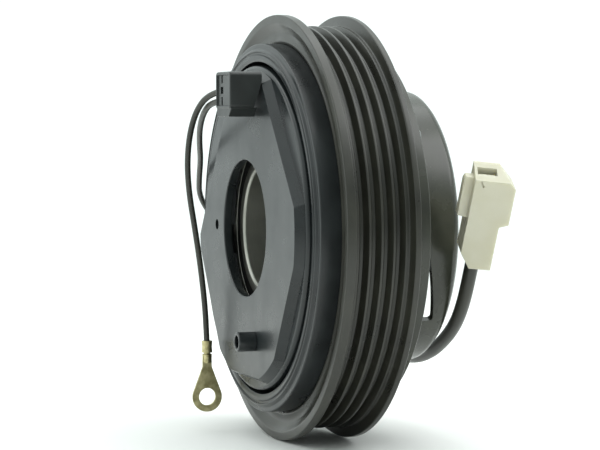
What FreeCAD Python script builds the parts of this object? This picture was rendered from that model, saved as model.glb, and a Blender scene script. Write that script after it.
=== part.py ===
"""Electromagnetic clutch of a belt-driven air-conditioning compressor, in millimetres.

World frame: the origin is the centre of the coil plate's bore on its mounting face, +Z is up and the
shaft axis is Y, with +Y towards the compressor. Turned and flat pieces are drawn in a shaft frame whose
Z is the depth in front of the mounting face (world -Y) and whose Y is up; AXIS carries them to the world.
"""

import FreeCAD, Part
import math
import os
import re

import Sketcher

Vector = FreeCAD.Vector

# Driving sizes. Depths are measured forward from the mounting face.
SIZES = {
    # pulley
    "pulley_radius": 62.5,
    "pulley_rear": 9.1,
    "rear_flange": 3.0,
    "front_flange": 1.9,
    "flange_chamfer": 0.4,
    "groove_count": 4,
    "groove_pitch": 3.56,
    "groove_depth": 2.4,
    "groove_flare": 0.364,
    "land_width": 0.7,
    "shoulder_width": 1.23,
    "land_drop": 3.1,
    "shoulder_lean": 0.2,
    "dish_width": 5.2,
    "dish_depth": 1.8,
    "dish_lip": 0.8,
    "dish_flat": 2.2,
    "dish_crest": 0.7,
    "dish_edge": 0.8,
    "seat_chamfer": 1.0,
    # rotor
    "track_wall": 3.0,
    "rotor_rear": 3.5,
    "lip_width": 2.2,
    "lip_step": 0.9,
    "rotor_face": 32.3,
    "web_thickness": 5.0,
    "hub_wall": 3.6,
    "bearing_shoulder": 2.3,
    "rotor_wall": 5.3,
    "slot_width": 2.2,
    "slot_count": 6,
    "slot_sweep": 46,
    "pole_step": 2.9,
    "pole_land": 1.2,
    "friction_width": 4.2,
    "friction_depth": 1.2,
    # bearing
    "bearing_bore": 17.5,
    "bearing_radius": 27.5,
    "bearing_width": 20.0,
    "bearing_rear": 5.4,
    "ball_radius": 2.75,
    "ball_play": 0.05,
    "ball_pitch_shift": 0.25,
    "race_depth": 1.0,
    "balls_per_row": 18,
    "row_spacing": 9.0,
    "cage_wall": 1.5,
    "cage_width": 6.4,
    "seal_thickness": 0.8,
    "seal_inset": 0.3,
    "seal_gap": 0.1,
    "retainer_thickness": 1.4,
    "retainer_depth": 1.1,
    "retainer_width": 2.9,
    "retainer_sweep": 340,
    # field coil
    "plate_bore": 20.0,
    "plate_inset": 1.1,
    "plate_thickness": 2.6,
    "plate_slope": 1.5,
    "coil_gap": 1.1,
    "shell_wall": 2.4,
    "shell_corner": 1.2,
    "bobbin_wall": 1.0,
    "winding_gap": 1.0,
    "potting_depth": 1.6,
    "pin_radius": 2.85,
    "pin_shank": 2.4,
    "pin_bore": 1.85,
    "pin_length": 5.4,
    "pin_across": -9.3,
    "pin_up": -32.5,
    "vent_radius": 1.6,
    "vent_across": 27.0,
    # lead block, leads and their ends
    "block_across": -9.65,
    "block_width": 14.1,
    "block_bottom": 34.8,
    "block_height": 10.7,
    "block_depth": 9.5,
    "block_recess": 0.5,
    "block_rim": 0.9,
    "block_corner": 1.0,
    "foot_depth": 2.2,
    "foot_drop": 2.2,
    "lead_diameter": 1.8,
    "sleeve_diameter": 4.0,
    "eye_radius": 4.6,
    "eye_hole": 2.65,
    "eye_thickness": 0.8,
    "eye_drop": 14.5,
    "tongue_width": 2.8,
    "taper_height": 8.9,
    "crimp_length": 3.6,
    "crimp_wall": 0.6,
    # connector, in its own frame: across, deep and along
    "housing_depth": 7.4,
    "housing_length": 30.0,
    "tail_length": 13.4,
    "tail_width": 9.2,
    "head_left": 4.5,
    "head_right": 7.2,
    "rail_width": 2.8,
    "rail_depth": 3.0,
    "rail_overlap": 1.0,
    "rail_inset": 3.0,
    "tail_chamfer": 3.0,
    "tail_slope": 4.5,
    "head_chamfer": 4.5,
    "head_slope": 5.0,
    "mouth_width": 5.6,
    "mouth_gap": 2.8,
    "mouth_depth": 12.0,
    "blade_width": 4.8,
    "blade_thickness": 0.8,
    "blade_length": 10.0,
    "socket_depth": 3.0,
    # armature and stop cup
    "air_gap": 0.5,
    "armature_inset": 1.0,
    "armature_bore": 22.0,
    "armature_thickness": 4.5,
    "armature_slot_count": 3,
    "armature_slot_sweep": 96,
    "cup_wall": 2.2,
    "cup_depth": 14.5,
    "cup_rim": 7.5,
    "cup_corner": 2.4,
    "corner_share": 0.3,
    "foot_margin": 5.0,
    "foot_length": 7.5,
    "foot_thickness": 1.8,
    "foot_sweep": 36,
    "window_sweep": 33,
    "window_low": 4.7,
    "window_high": 9.6,
    "cup_rivet_inset": 3.5,
    "rivet_radius": 2.0,
    "rivet_head": 3.2,
    "head_height": 1.3,
    # hub, springs and shims
    "hub_radius": 12.5,
    "hub_reach": 3.3,
    "hub_length": 16.5,
    "pilot_radius": 8.6,
    "pilot_depth": 4.0,
    "spline_radius": 8.2,
    "spline_minor": 7.4,
    "spline_count": 18,
    "spline_half_width": 0.6,
    "spline_depth": 5.2,
    "stop_radius": 5.4,
    "stop_length": 1.8,
    "bolt_recess": 9.2,
    "flange_radius": 16.0,
    "flange_thickness": 3.0,
    "arm_radius": 5.0,
    "arm_gap": 2.0,
    "spring_gap": 0.3,
    "spring_sweep": 51.5,
    "spring_width": 8.0,
    "spring_thickness": 0.8,
    "spring_height": 3.6,
    "spring_play": 0.1,
    "shim_thickness": 0.4,
    "shim_play": 0.1,
}

# Sizes that follow from the driving ones.
DERIVED = {
    "belt_start": "pulley_rear + rear_flange",
    "taper_reach": "sqrt(taper_height ^ 2 + tongue_width ^ 2 / 4)",
    "contact_turn": "atan(2 * taper_height / tongue_width) - acos(eye_radius / taper_reach)",
    "contact_across": "eye_radius * cos(contact_turn)",
    "contact_up": "eye_radius * sin(contact_turn)",
    "belt_end": "belt_start + groove_count * groove_pitch + 2 * shoulder_width",
    "pulley_front": "belt_end + front_flange",
    "land_radius": "pulley_radius - land_drop",
    "groove_bottom": "land_radius - groove_depth",
    "rotor_radius": "groove_bottom - track_wall",
    "rotor_bore": "rotor_radius - rotor_wall",
    "shell_radius": "rotor_bore - coil_gap",
    "rotor_hub": "bearing_radius + hub_wall",
    "web_rear": "rotor_face - web_thickness",
    "web_bore": "bearing_radius - bearing_shoulder",
    "inner_slot_radius": "rotor_hub + pole_step",
    "friction_inner": "inner_slot_radius + slot_width + pole_land",
    "outer_slot_radius": "friction_inner + friction_width + pole_land",
    "bearing_front": "bearing_rear + bearing_width",
    "ball_pitch": "(bearing_bore + bearing_radius) / 2 + ball_pitch_shift",
    "inner_race": "ball_pitch - ball_radius + race_depth",
    "outer_race": "ball_pitch + ball_radius - race_depth",
    "bearing_middle": "bearing_rear + bearing_width / 2",
    "plate_radius": "shell_radius - plate_inset",
    "shell_bore": "rotor_hub + coil_gap",
    "shell_front": "web_rear - coil_gap",
    "channel_inner": "shell_bore + shell_wall",
    "channel_outer": "shell_radius - shell_wall",
    "channel_rear": "plate_thickness + shell_wall",
    "bobbin_front": "shell_front - potting_depth",
    "winding_inner": "channel_inner + bobbin_wall",
    "winding_outer": "channel_outer - winding_gap",
    "armature_rear": "rotor_face + air_gap",
    "armature_front": "armature_rear + armature_thickness",
    "armature_radius": "rotor_radius - armature_inset",
    "foot_radius": "armature_radius - foot_margin",
    "cup_radius": "foot_radius - foot_length",
    "cup_rivet_circle": "foot_radius - cup_rivet_inset",
    "cup_front": "armature_front + cup_depth",
    "cup_bore": "cup_radius - cup_wall",
    "armature_slot_radius": "friction_inner + (friction_width - slot_width) / 2",
    "rim_bore": "cup_radius - cup_rim",
    "arm_circle": "rim_bore - arm_gap - arm_radius",
    "spring_circle": "cup_bore - spring_gap - spring_width / 2",
    "spring_rear": "armature_front + spring_height",
    "spring_front": "spring_rear + spring_thickness",
    "hub_rear": "rotor_face - hub_reach",
    "hub_front": "hub_rear + hub_length",
    "spline_front": "hub_rear + pilot_depth + spline_depth",
}

# Angles in the shaft frame are in degrees from world +X towards +Z.
# Flats of the coil plate as (angle, inset), its folded side as (angle, inset, lean).
PLATE_FLATS = ((140.6, 5.8), (212.0, 2.9), (270.0, 2.0), (24.5, 4.7), (326.0, 3.6))
PLATE_FOLD = (35.0, 10.5, 68.0)
ARM_ANGLE = 23.5
THIRDS = (0, 120, 240)

# Routes of the two leads and of the sleeve, in the world frame.
GROUND_ROUTE = (
    (-2.6, 7.0, 40.2),
    (4.2, 9.2, 39.4),
    (10.6, 11.2, 35.0),
    (16.0, 11.9, 27.6),
    (20.0, 11.5, 18.6),
    (22.6, 10.1, 9.4),
    (24.4, 8.0, 0.0),
    (25.4, 6.2, -9.6),
    (25.9, 4.8, -19.4),
    (26.0, 3.9, -29.0),
    (26.0, 3.6, -38.0),
)
POWER_ROUTE = (
    (-2.6, 7.0, 37.4),
    (4.6, 8.6, 36.8),
    (13.0, 8.3, 34.2),
    (23.0, 6.6, 29.8),
    (33.5, 3.6, 24.8),
    (43.5, 0.2, 19.6),
    (52.6, -2.0, 13.6),
    (60.6, -4.4, 7.6),
    (66.4, -10.0, 1.2),
    (68.6, -18.0, -5.0),
    (68.4, -26.0, -10.8),
)
SLEEVE_ROUTE = (
    (68.4, -26.0, -10.8),
    (67.4, -36.0, -17.8),
    (61.6, -45.6, -25.0),
    (52.0, -52.4, -32.0),
    (40.0, -56.2, -37.6),
    (26.0, -57.6, -40.8),
    (10.5, -57.2, -41.2),
    (-5.5, -56.2, -38.4),
    (-19.0, -55.4, -33.4),
    (-30.6, -54.3, -27.4),
    (-39.0, -53.0, -20.8),
    (-44.9, -52.1, -13.6),
    (-48.4, -52.2, -5.9),
)

# The way from the connector's outer broad face to its inner one, before it is squared to its length.
CONNECTOR_DEEP = (0.87, -0.22, 0.44)

doc = FreeCAD.newDocument("electromagnetic_clutch")
sheet = doc.addObject("Spreadsheet::Sheet", "dims")
for row, (alias, value) in enumerate(SIZES.items(), start=1):
    sheet.set(f"A{row}", alias.replace("_", " "))
    sheet.set(f"B{row}", str(value))
    sheet.setAlias(f"B{row}", alias)
doc.recompute()

AXIS = FreeCAD.Placement(Vector(), FreeCAD.Rotation(Vector(1, 0, 0), 90))
WORLD = FreeCAD.Placement()
NODES = {}


def bound(text):
    """An expression in size names, as an object of the document has to write it."""

    def expand(found):
        name = found.group()
        if name in DERIVED:
            return f"({bound(DERIVED[name])})"
        return f"dims.{name}" if name in SIZES else name

    return re.sub(r"[a-z][a-z_]*", expand, str(text))


def size(text):
    """The number that an expression in size names stands for now."""
    return float(sheet.evalExpression(bound(text)))


def bind(thing, **expressions):
    """Ties properties of an object to expressions in size names."""
    for name, text in expressions.items():
        thing.setExpression(name, bound(text))
    return thing


def keep(thing, label, placement=AXIS):
    """Names a finished piece, puts it in the world and lists it for export."""
    thing.Label = label
    thing.Placement = placement
    NODES[label] = thing
    return thing


# Sketches and PartDesign features


def datum(body, role):
    """A plane or axis of the body's own origin."""
    return next(f for f in body.Origin.OriginFeatures if f.Role == role)


def new_sketch(body, role):
    sketch = body.newObject("Sketcher::SketchObject", "Sketch")
    sketch.AttachmentSupport = [(datum(body, role), "")]
    sketch.MapMode = "FlatFace"
    return sketch


def pin_point(sketch, geometry, point, across, along):
    """Places one sketch point by two expressions."""
    for kind, text in (("DistanceX", across), ("DistanceY", along)):
        rule = Sketcher.Constraint(kind, -1, 1, geometry, point, size(text))
        index = sketch.addConstraint(rule)
        sketch.setExpression(f"Constraints[{index}]", bound(text))


def polygon(body, role, points):
    """A closed outline through points, each a pair of expressions."""
    sketch = new_sketch(body, role)
    corners = [Vector(size(a), size(b), 0) for a, b in points]
    count = len(corners)
    for i, corner in enumerate(corners):
        sketch.addGeometry(Part.LineSegment(corner, corners[(i + 1) % count]))
    for i in range(count):
        sketch.addConstraint(Sketcher.Constraint("Coincident", i, 2, (i + 1) % count, 1))
    for i, (across, along) in enumerate(points):
        pin_point(sketch, i, 1, across, along)
    return sketch


def rectangle(body, role, left, right, low, high):
    return polygon(body, role, ((left, low), (right, low), (right, high), (left, high)))


def circle(body, role, across, along, radius):
    sketch = new_sketch(body, role)
    centre = Vector(size(across), size(along), 0)
    sketch.addGeometry(Part.Circle(centre, Vector(0, 0, 1), size(radius)))
    pin_point(sketch, 0, 3, across, along)
    index = sketch.addConstraint(Sketcher.Constraint("Radius", 0, size(radius)))
    sketch.setExpression(f"Constraints[{index}]", bound(radius))
    return sketch


def feature(body, kind, sketch, **settings):
    """A sketch-based feature, made the tip of its body."""
    made = body.newObject(f"PartDesign::{kind}", kind)
    made.Profile = sketch
    for name, value in settings.items():
        setattr(made, name, value)
    sketch.Visibility = False
    body.Tip = made
    return made


def cut(body, kind, sketch, **settings):
    """A feature that has to take material away."""
    doc.recompute()
    before = body.Shape.Volume
    made = feature(body, kind, sketch, **settings)
    doc.recompute()
    if made.Shape.isNull() or not made.Shape.Volume < before - 1e-3:
        raise RuntimeError(f"{body.Label}: {kind} cuts nothing")
    return made


def revolve(body, kind, sketch, angle=360, symmetric=False):
    settings = {"ReferenceAxis": (sketch, ["V_Axis"]), "Angle": 360, "Midplane": symmetric}
    made = (cut if kind == "Groove" else feature)(body, kind, sketch, **settings)
    if angle != 360:
        bind(made, Angle=angle)
    return made


def around(body, originals, count):
    """Repeats features evenly about the shaft axis."""
    pattern = body.newObject("PartDesign::PolarPattern", "PolarPattern")
    pattern.Originals = originals
    pattern.Axis = (datum(body, "Z_Axis"), [""])
    pattern.Angle = 360
    pattern.Occurrences = int(size(count))
    bind(pattern, Occurrences=count)
    body.Tip = pattern
    return pattern


def new_body(name):
    return doc.addObject("PartDesign::Body", name)


def turned(name, points):
    """A body of revolution about the shaft axis, from (radius, depth) points."""
    body = new_body(name)
    revolve(body, "Revolution", polygon(body, "XZ_Plane", points))
    return body


def ring(name, inner, outer, rear, front):
    return turned(name, ((inner, rear), (outer, rear), (outer, front), (inner, front)))


def drill(body, across, up, radius, count="1"):
    """A hole parallel to the axis, right through the body, repeated about the axis."""
    hole = cut(body, "Pocket", circle(body, "XY_Plane", across, up, radius), Type=1, Midplane=True)
    if size(count) > 1:
        around(body, [hole], count)
    return hole


def polar(radius, angle):
    """Two expressions for a point at a radius and an angle."""
    return f"({radius}) * cos({angle})", f"({radius}) * sin({angle})"


# Part primitives


def cylinder(radius, low, high, across="0", up="0"):
    made = doc.addObject("Part::Cylinder", "Cylinder")
    bind(made, Radius=radius, Height=f"({high}) - ({low})")
    return moved(made, across, up, low)


def box(width, depth, height, across, up, low):
    made = doc.addObject("Part::Box", "Box")
    bind(made, Length=width, Width=depth, Height=height)
    return moved(made, across, up, low)


def moved(thing, across, up, depth):
    for name, text in (("x", across), ("y", up), ("z", depth)):
        thing.setExpression(f"Placement.Base.{name}", bound(text))
    return thing


def fuse(*pieces):
    made = doc.addObject("Part::MultiFuse", "Fuse")
    made.Shapes = list(pieces)
    return made


def subtract(base, *tools):
    made = doc.addObject("Part::Cut", "Cut")
    made.Base = base
    made.Tool = tools[0] if len(tools) == 1 else fuse(*tools)
    return made


def compound(pieces):
    made = doc.addObject("Part::Compound", "Compound")
    made.Links = list(pieces)
    return made


# Pulley and rotor


def belt_ring():
    """Ribbed belt track with two flanges, pressed on the rotor."""
    land = "land_width / 2"
    flank = "land_width / 2 + groove_depth * groove_flare"
    points = [
        ("rotor_radius", "pulley_rear + dish_depth"),
        ("rotor_radius + dish_lip", "pulley_rear + dish_depth * dish_crest"),
        ("rotor_radius + dish_flat", "pulley_rear + dish_depth"),
        ("rotor_radius + dish_width * dish_edge", "pulley_rear + dish_depth * dish_edge"),
        ("rotor_radius + dish_width + dish_lip", "pulley_rear"),
        ("pulley_radius - flange_chamfer", "pulley_rear"),
        ("pulley_radius", "pulley_rear + flange_chamfer"),
        ("pulley_radius", "belt_start - shoulder_lean"),
        ("land_radius", "belt_start + shoulder_width / 3"),
    ]
    for i in range(int(SIZES["groove_count"]) + 1):
        centre = f"belt_start + shoulder_width + groove_pitch * {i}"
        if i > 0:
            points.append(("groove_bottom", f"{centre} - ({flank})"))
            points.append(("land_radius", f"{centre} - {land}"))
        if i < SIZES["groove_count"]:
            points.append(("land_radius", f"{centre} + {land}"))
            points.append(("groove_bottom", f"{centre} + {flank}"))
    points += [
        ("land_radius", "belt_end - shoulder_width / 3"),
        ("pulley_radius", "belt_end + shoulder_lean"),
        ("pulley_radius", "pulley_front - flange_chamfer"),
        ("pulley_radius - flange_chamfer", "pulley_front"),
        ("rotor_radius + dish_flat + seat_chamfer", "pulley_front"),
        ("rotor_radius + dish_flat", "pulley_front - seat_chamfer"),
        ("rotor_radius", "pulley_front - seat_chamfer"),
    ]
    return keep(turned("belt_ring", points), "belt_ring")


def rotor():
    """Soft-iron rotor: hub on the bearing, slotted friction web and outer wall, open to the rear."""
    body = turned(
        "rotor",
        (
            ("bearing_radius", "rotor_rear"),
            ("rotor_hub", "rotor_rear"),
            ("rotor_hub", "web_rear"),
            ("rotor_bore", "web_rear"),
            ("rotor_bore", "rotor_rear"),
            ("rotor_radius - lip_width", "rotor_rear"),
            ("rotor_radius", "rotor_rear + lip_step"),
            ("rotor_radius", "rotor_face"),
            ("friction_inner + friction_width", "rotor_face"),
            ("friction_inner + friction_width", "rotor_face - friction_depth"),
            ("friction_inner", "rotor_face - friction_depth"),
            ("friction_inner", "rotor_face"),
            ("web_bore", "rotor_face"),
            ("web_bore", "bearing_front"),
            ("bearing_radius", "bearing_front"),
            ("bearing_radius", "bearing_rear"),
            ("bearing_radius + retainer_depth", "bearing_rear"),
            ("bearing_radius + retainer_depth", "bearing_rear - retainer_thickness"),
            ("bearing_radius", "bearing_rear - retainer_thickness"),
        ),
    )
    for start in ("inner_slot_radius", "outer_slot_radius"):
        slot = rectangle(
            body, "XZ_Plane", start, f"{start} + slot_width", "web_rear - 1", "rotor_face + 1"
        )
        groove = revolve(body, "Groove", slot, "slot_sweep", symmetric=True)
        around(body, [groove], "slot_count")
    return keep(body, "rotor")


def friction_ring():
    """Friction facing set in the rotor's front face."""
    body = ring(
        "friction_ring",
        "friction_inner",
        "friction_inner + friction_width",
        "rotor_face - friction_depth",
        "rotor_face",
    )
    return keep(body, "friction_ring")


# Bearing


def race_grooves(body):
    """Two ball grooves, cut a little larger than the balls."""
    for side in ("-", "+"):
        centre = f"bearing_middle {side} row_spacing / 2"
        track = circle(body, "XZ_Plane", "ball_pitch", centre, "ball_radius + ball_play")
        revolve(body, "Groove", track)


def bearing_rings():
    inner = ring("inner_ring", "bearing_bore", "inner_race", "bearing_rear", "bearing_front")
    race_grooves(inner)
    keep(inner, "bearing_inner_ring")
    outer = ring("outer_ring", "outer_race", "bearing_radius", "bearing_rear", "bearing_front")
    race_grooves(outer)
    keep(outer, "bearing_outer_ring")


def bearing_balls():
    """Two rows of balls."""
    balls = []
    for side in ("-", "+"):
        for i in range(int(SIZES["balls_per_row"])):
            ball = bind(doc.addObject("Part::Sphere", "Ball"), Radius="ball_radius")
            across, up = polar("ball_pitch", f"360 / balls_per_row * {i}")
            balls.append(moved(ball, across, up, f"bearing_middle {side} row_spacing / 2"))
    return keep(compound(balls), "bearing_balls")


def bearing_cages():
    """One machined ring for each row, with a hole drilled across it for each ball."""
    cages = []
    for side in ("-", "+"):
        middle = f"bearing_middle {side} row_spacing / 2"
        low = f"{middle} - cage_width / 2"
        high = f"{middle} + cage_width / 2"
        blank = subtract(
            cylinder("ball_pitch + cage_wall / 2", low, high),
            cylinder("ball_pitch - cage_wall / 2", low, high),
        )
        pockets = []
        for i in range(int(SIZES["balls_per_row"])):
            pocket = bind(
                doc.addObject("Part::Cylinder", "Pocket"),
                Radius="ball_radius + ball_play",
                Height="ball_pitch + cage_wall",
            )
            outwards = FreeCAD.Rotation(Vector(0, 0, 1), 360 / SIZES["balls_per_row"] * i)
            pocket.Placement.Rotation = outwards * FreeCAD.Rotation(Vector(0, 1, 0), 90)
            pockets.append(moved(pocket, "0", "0", middle))
        cages.append(subtract(blank, *pockets))
    return keep(compound(cages), "bearing_cages")


def bearing_seals():
    """Rubber seals held by the outer ring, clear of the inner one."""
    seals = []
    for low in ("bearing_rear + seal_inset", "bearing_front - seal_inset - seal_thickness"):
        high = f"{low} + seal_thickness"
        disc = cylinder("outer_race", low, high)
        seals.append(subtract(disc, cylinder("inner_race + seal_gap", low, high)))
    return keep(compound(seals), "bearing_seals")


def bearing_retaining_ring():
    """Open snap ring behind the bearing, sprung into the rotor hub's groove."""
    body = new_body("retaining_ring")
    outer = "bearing_radius + retainer_depth"
    profile = rectangle(
        body,
        "XZ_Plane",
        f"{outer} - retainer_width",
        outer,
        "bearing_rear - retainer_thickness",
        "bearing_rear",
    )
    revolve(body, "Revolution", profile, "retainer_sweep")
    return keep(body, "bearing_retaining_ring")


# Field coil


def coil_plate():
    """Stamped mounting plate: a shallow frustum with flats, one folded side, and three holes."""
    blank = doc.addObject("Part::Cone", "Blank")
    bind(blank, Radius1="plate_radius - plate_slope", Radius2="plate_radius", Height="plate_thickness")
    tools = []
    lean = math.degrees(math.atan2(size("plate_slope"), size("plate_thickness")))
    for angle, inset in PLATE_FLATS:
        tools.append(sloped_cutter(angle, inset, lean))
    tools.append(sloped_cutter(*PLATE_FOLD))
    tools.append(cylinder("plate_bore", "-1", "plate_thickness + 1"))
    tools.append(cylinder("pin_shank", "-1", "plate_thickness + 1", "pin_across", "pin_up"))
    tools.append(cylinder("vent_radius", "-1", "plate_thickness + 1", "vent_across"))
    return keep(subtract(blank, *tools), "coil_plate")


def sloped_cutter(angle, inset, lean):
    """A block whose inner face stands inside the frustum's rear edge and leans outwards."""
    distance = size("plate_radius - plate_slope") - inset
    reach = 30.0
    made = doc.addObject("Part::Box", "Cutter")
    made.Length = reach
    made.Width = 4 * reach
    made.Height = 2 * reach
    shift = FreeCAD.Placement(Vector(0, -2 * reach, -reach), FreeCAD.Rotation())
    leaned = FreeCAD.Placement(Vector(distance, 0, 0), FreeCAD.Rotation(Vector(0, 1, 0), lean))
    turn = FreeCAD.Placement(Vector(), FreeCAD.Rotation(Vector(0, 0, 1), angle))
    made.Placement = turn * leaned * shift
    return made


def coil_shell():
    """Steel channel that holds the winding, open towards the rotor's web."""
    body = turned(
        "coil_shell",
        (
            ("shell_bore", "plate_thickness"),
            ("shell_radius - shell_corner", "plate_thickness"),
            ("shell_radius", "plate_thickness + shell_corner"),
            ("shell_radius", "shell_front"),
            ("channel_outer", "shell_front"),
            ("channel_outer", "channel_rear"),
            ("channel_inner", "channel_rear"),
            ("channel_inner", "shell_front"),
            ("shell_bore", "shell_front"),
        ),
    )
    return keep(body, "coil_shell")


def coil_bobbin():
    """Moulded spool inside the channel."""
    body = turned(
        "coil_bobbin",
        (
            ("channel_inner", "channel_rear"),
            ("channel_outer", "channel_rear"),
            ("channel_outer", "channel_rear + bobbin_wall"),
            ("winding_inner", "channel_rear + bobbin_wall"),
            ("winding_inner", "bobbin_front - bobbin_wall"),
            ("channel_outer", "bobbin_front - bobbin_wall"),
            ("channel_outer", "bobbin_front"),
            ("channel_inner", "bobbin_front"),
        ),
    )
    return keep(body, "coil_bobbin")


def coil_winding():
    body = ring(
        "coil_winding",
        "winding_inner",
        "winding_outer",
        "channel_rear + bobbin_wall",
        "bobbin_front - bobbin_wall",
    )
    return keep(body, "coil_winding")


def coil_potting():
    body = ring("coil_potting", "channel_inner", "channel_outer", "bobbin_front", "shell_front")
    return keep(body, "coil_potting")


def locating_pin():
    """Hollow pin that stops the coil from turning on the compressor."""
    centre = ("pin_across", "pin_up")
    pin = subtract(
        fuse(
            cylinder("pin_radius", "-pin_length", "0", *centre),
            cylinder("pin_shank", "-1", "plate_thickness", *centre),
        ),
        cylinder("pin_bore", "-pin_length - 1", "plate_thickness + 1", *centre),
    )
    return keep(pin, "locating_pin")


def lead_block():
    """Moulded block on the plate, with a recessed back face and a sloping foot under it."""
    body = new_body("lead_block")
    left = "block_across - block_width / 2"
    right = "block_across + block_width / 2"
    top = "block_bottom + block_height"
    outline = rectangle(body, "XY_Plane", left, right, "block_bottom", top)
    bind(feature(body, "Pad", outline, Reversed=True), Length="block_depth")
    doc.recompute()
    edges = [
        f"Edge{i}"
        for i, edge in enumerate(body.Shape.Edges, start=1)
        if edge.BoundBox.ZLength > size("block_depth") - 0.1
    ]
    block = body.Tip
    fillet = body.newObject("PartDesign::Fillet", "Fillet")
    fillet.Base = (block, edges)
    bind(fillet, Radius="block_corner")
    body.Tip = fillet
    doc.recompute()
    recess = rectangle(
        body,
        "XY_Plane",
        f"{left} + block_rim",
        f"{right} - block_rim",
        "block_bottom + block_rim",
        f"{top} - block_rim",
    )
    recess.AttachmentOffset = FreeCAD.Placement(Vector(0, 0, -1), FreeCAD.Rotation())
    recess.setExpression("AttachmentOffset.Base.z", bound("-block_depth"))
    pocket = cut(body, "Pocket", recess, Reversed=True)
    bind(pocket, Length="block_recess")
    foot = polygon(
        body,
        "YZ_Plane",
        (
            ("block_bottom - foot_drop", "0"),
            ("block_bottom + 1", "0"),
            ("block_bottom + 1", "-foot_depth"),
            ("block_bottom", "-foot_depth"),
        ),
    )
    foot.AttachmentOffset = FreeCAD.Placement(Vector(0, 0, -1), FreeCAD.Rotation())
    foot.setExpression("AttachmentOffset.Base.z", bound(f"{left} + block_corner"))
    bind(feature(body, "Pad", foot), Length="block_width - 2 * block_corner")
    return keep(body, "lead_block")


# Leads and their ends


def tube(label, route, diameter):
    """A round tube along straight runs joined by tangent arcs."""
    points = [Vector(*p) for p in route]
    runs = [(b - a).Length for a, b in zip(points, points[1:])]
    ways = [(b - a).normalize() for a, b in zip(points, points[1:])]
    edges = []
    radii = []
    start = points[0]
    for i, point in enumerate(points[1:-1]):
        before, after = ways[i], ways[i + 1]
        half = before.getAngle(after) / 2
        reach = 0.45 * min(runs[i], runs[i + 1])
        radius = reach / math.tan(half)
        inward = (after - before).normalize()
        arc_start = point - before * reach
        arc_end = point + after * reach
        middle = point + inward * (radius / math.cos(half) - radius)
        edges.append(Part.LineSegment(start, arc_start).toShape())
        edges.append(Part.Arc(arc_start, middle, arc_end).toShape())
        radii.append(round(radius, 1))
        start = arc_end
    edges.append(Part.LineSegment(start, points[-1]).toShape())
    path = Part.Wire(edges)
    thickness = size(diameter)
    section = Part.Face(Part.Wire([Part.makeCircle(thickness / 2, points[0], ways[0])]))
    solid = path.makePipe(section)
    expected = math.pi * thickness**2 / 4 * path.Length
    if abs(solid.Volume - expected) > 0.01 * expected:
        raise RuntimeError(f"{label}: volume {solid.Volume:.1f} instead of {expected:.1f}")
    print(f"{label}: length {path.Length:.1f}, runs {[round(r, 1) for r in runs]}, radii {radii}")
    made = doc.addObject("Part::Feature", label)
    made.Shape = solid
    return keep(made, label, WORLD)


def ring_terminal():
    """Crimped eye on the ground lead, in the world frame, flat across X."""
    x, y, z = GROUND_ROUTE[-1]
    bore = "lead_diameter / 2"
    spot = (str(x), str(y))
    grip = cylinder(f"{bore} + crimp_wall", f"{z} - 1", f"{z} + crimp_length - 1", *spot)
    neck = cylinder(bore, f"{z} - crimp_length", str(z), *spot)
    wire = cylinder(bore, str(z), f"{z} + crimp_length", *spot)
    tongue = box(
        "eye_thickness",
        "tongue_width",
        "eye_drop - crimp_length / 2",
        f"{x} - eye_thickness / 2",
        f"{y} - tongue_width / 2",
        f"{z} - eye_drop",
    )
    taper = new_body("terminal_taper")
    top = f"{z} - eye_drop + taper_height"
    outline = polygon(
        taper,
        "YZ_Plane",
        (
            (f"{y} - tongue_width / 2", top),
            (f"{y} + tongue_width / 2", top),
            (f"{y} + contact_across", f"{z} - eye_drop + contact_up"),
            (f"{y} - contact_across", f"{z} - eye_drop + contact_up"),
        ),
    )
    bind(feature(taper, "Pad", outline, Midplane=True), Length="eye_thickness")
    doc.recompute()
    moved(taper, str(x), "0", "0")
    eye = disc_across("eye_radius", "eye_thickness", x, y, z)
    hole = disc_across("eye_hole", "4 * eye_thickness", x, y, z)
    return keep(subtract(fuse(grip, neck, tongue, taper, eye), wire, hole), "ring_terminal", WORLD)


def disc_across(radius, thickness, x, y, z):
    """A round disc at the eye's centre, its axis along world X."""
    disc = bind(doc.addObject("Part::Cylinder", "Disc"), Radius=radius, Height=thickness)
    disc.Placement.Rotation = FreeCAD.Rotation(Vector(0, 1, 0), 90)
    return moved(disc, f"{x} - {thickness} / 2", str(y), f"{z} - eye_drop")


def connector_place():
    """Where the connector stands: in line with the sleeve, whose end fills the tail's socket."""
    along = (Vector(*SLEEVE_ROUTE[-1]) - Vector(*SLEEVE_ROUTE[-2])).normalize()
    deep = Vector(*CONNECTOR_DEEP)
    deep = (deep - along * deep.dot(along)).normalize()
    across = deep.cross(along)
    turn = FreeCAD.Rotation(across, deep, along, "ZXY")
    return FreeCAD.Placement(Vector(*SLEEVE_ROUTE[-1]) - along * size("socket_depth"), turn)


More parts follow.
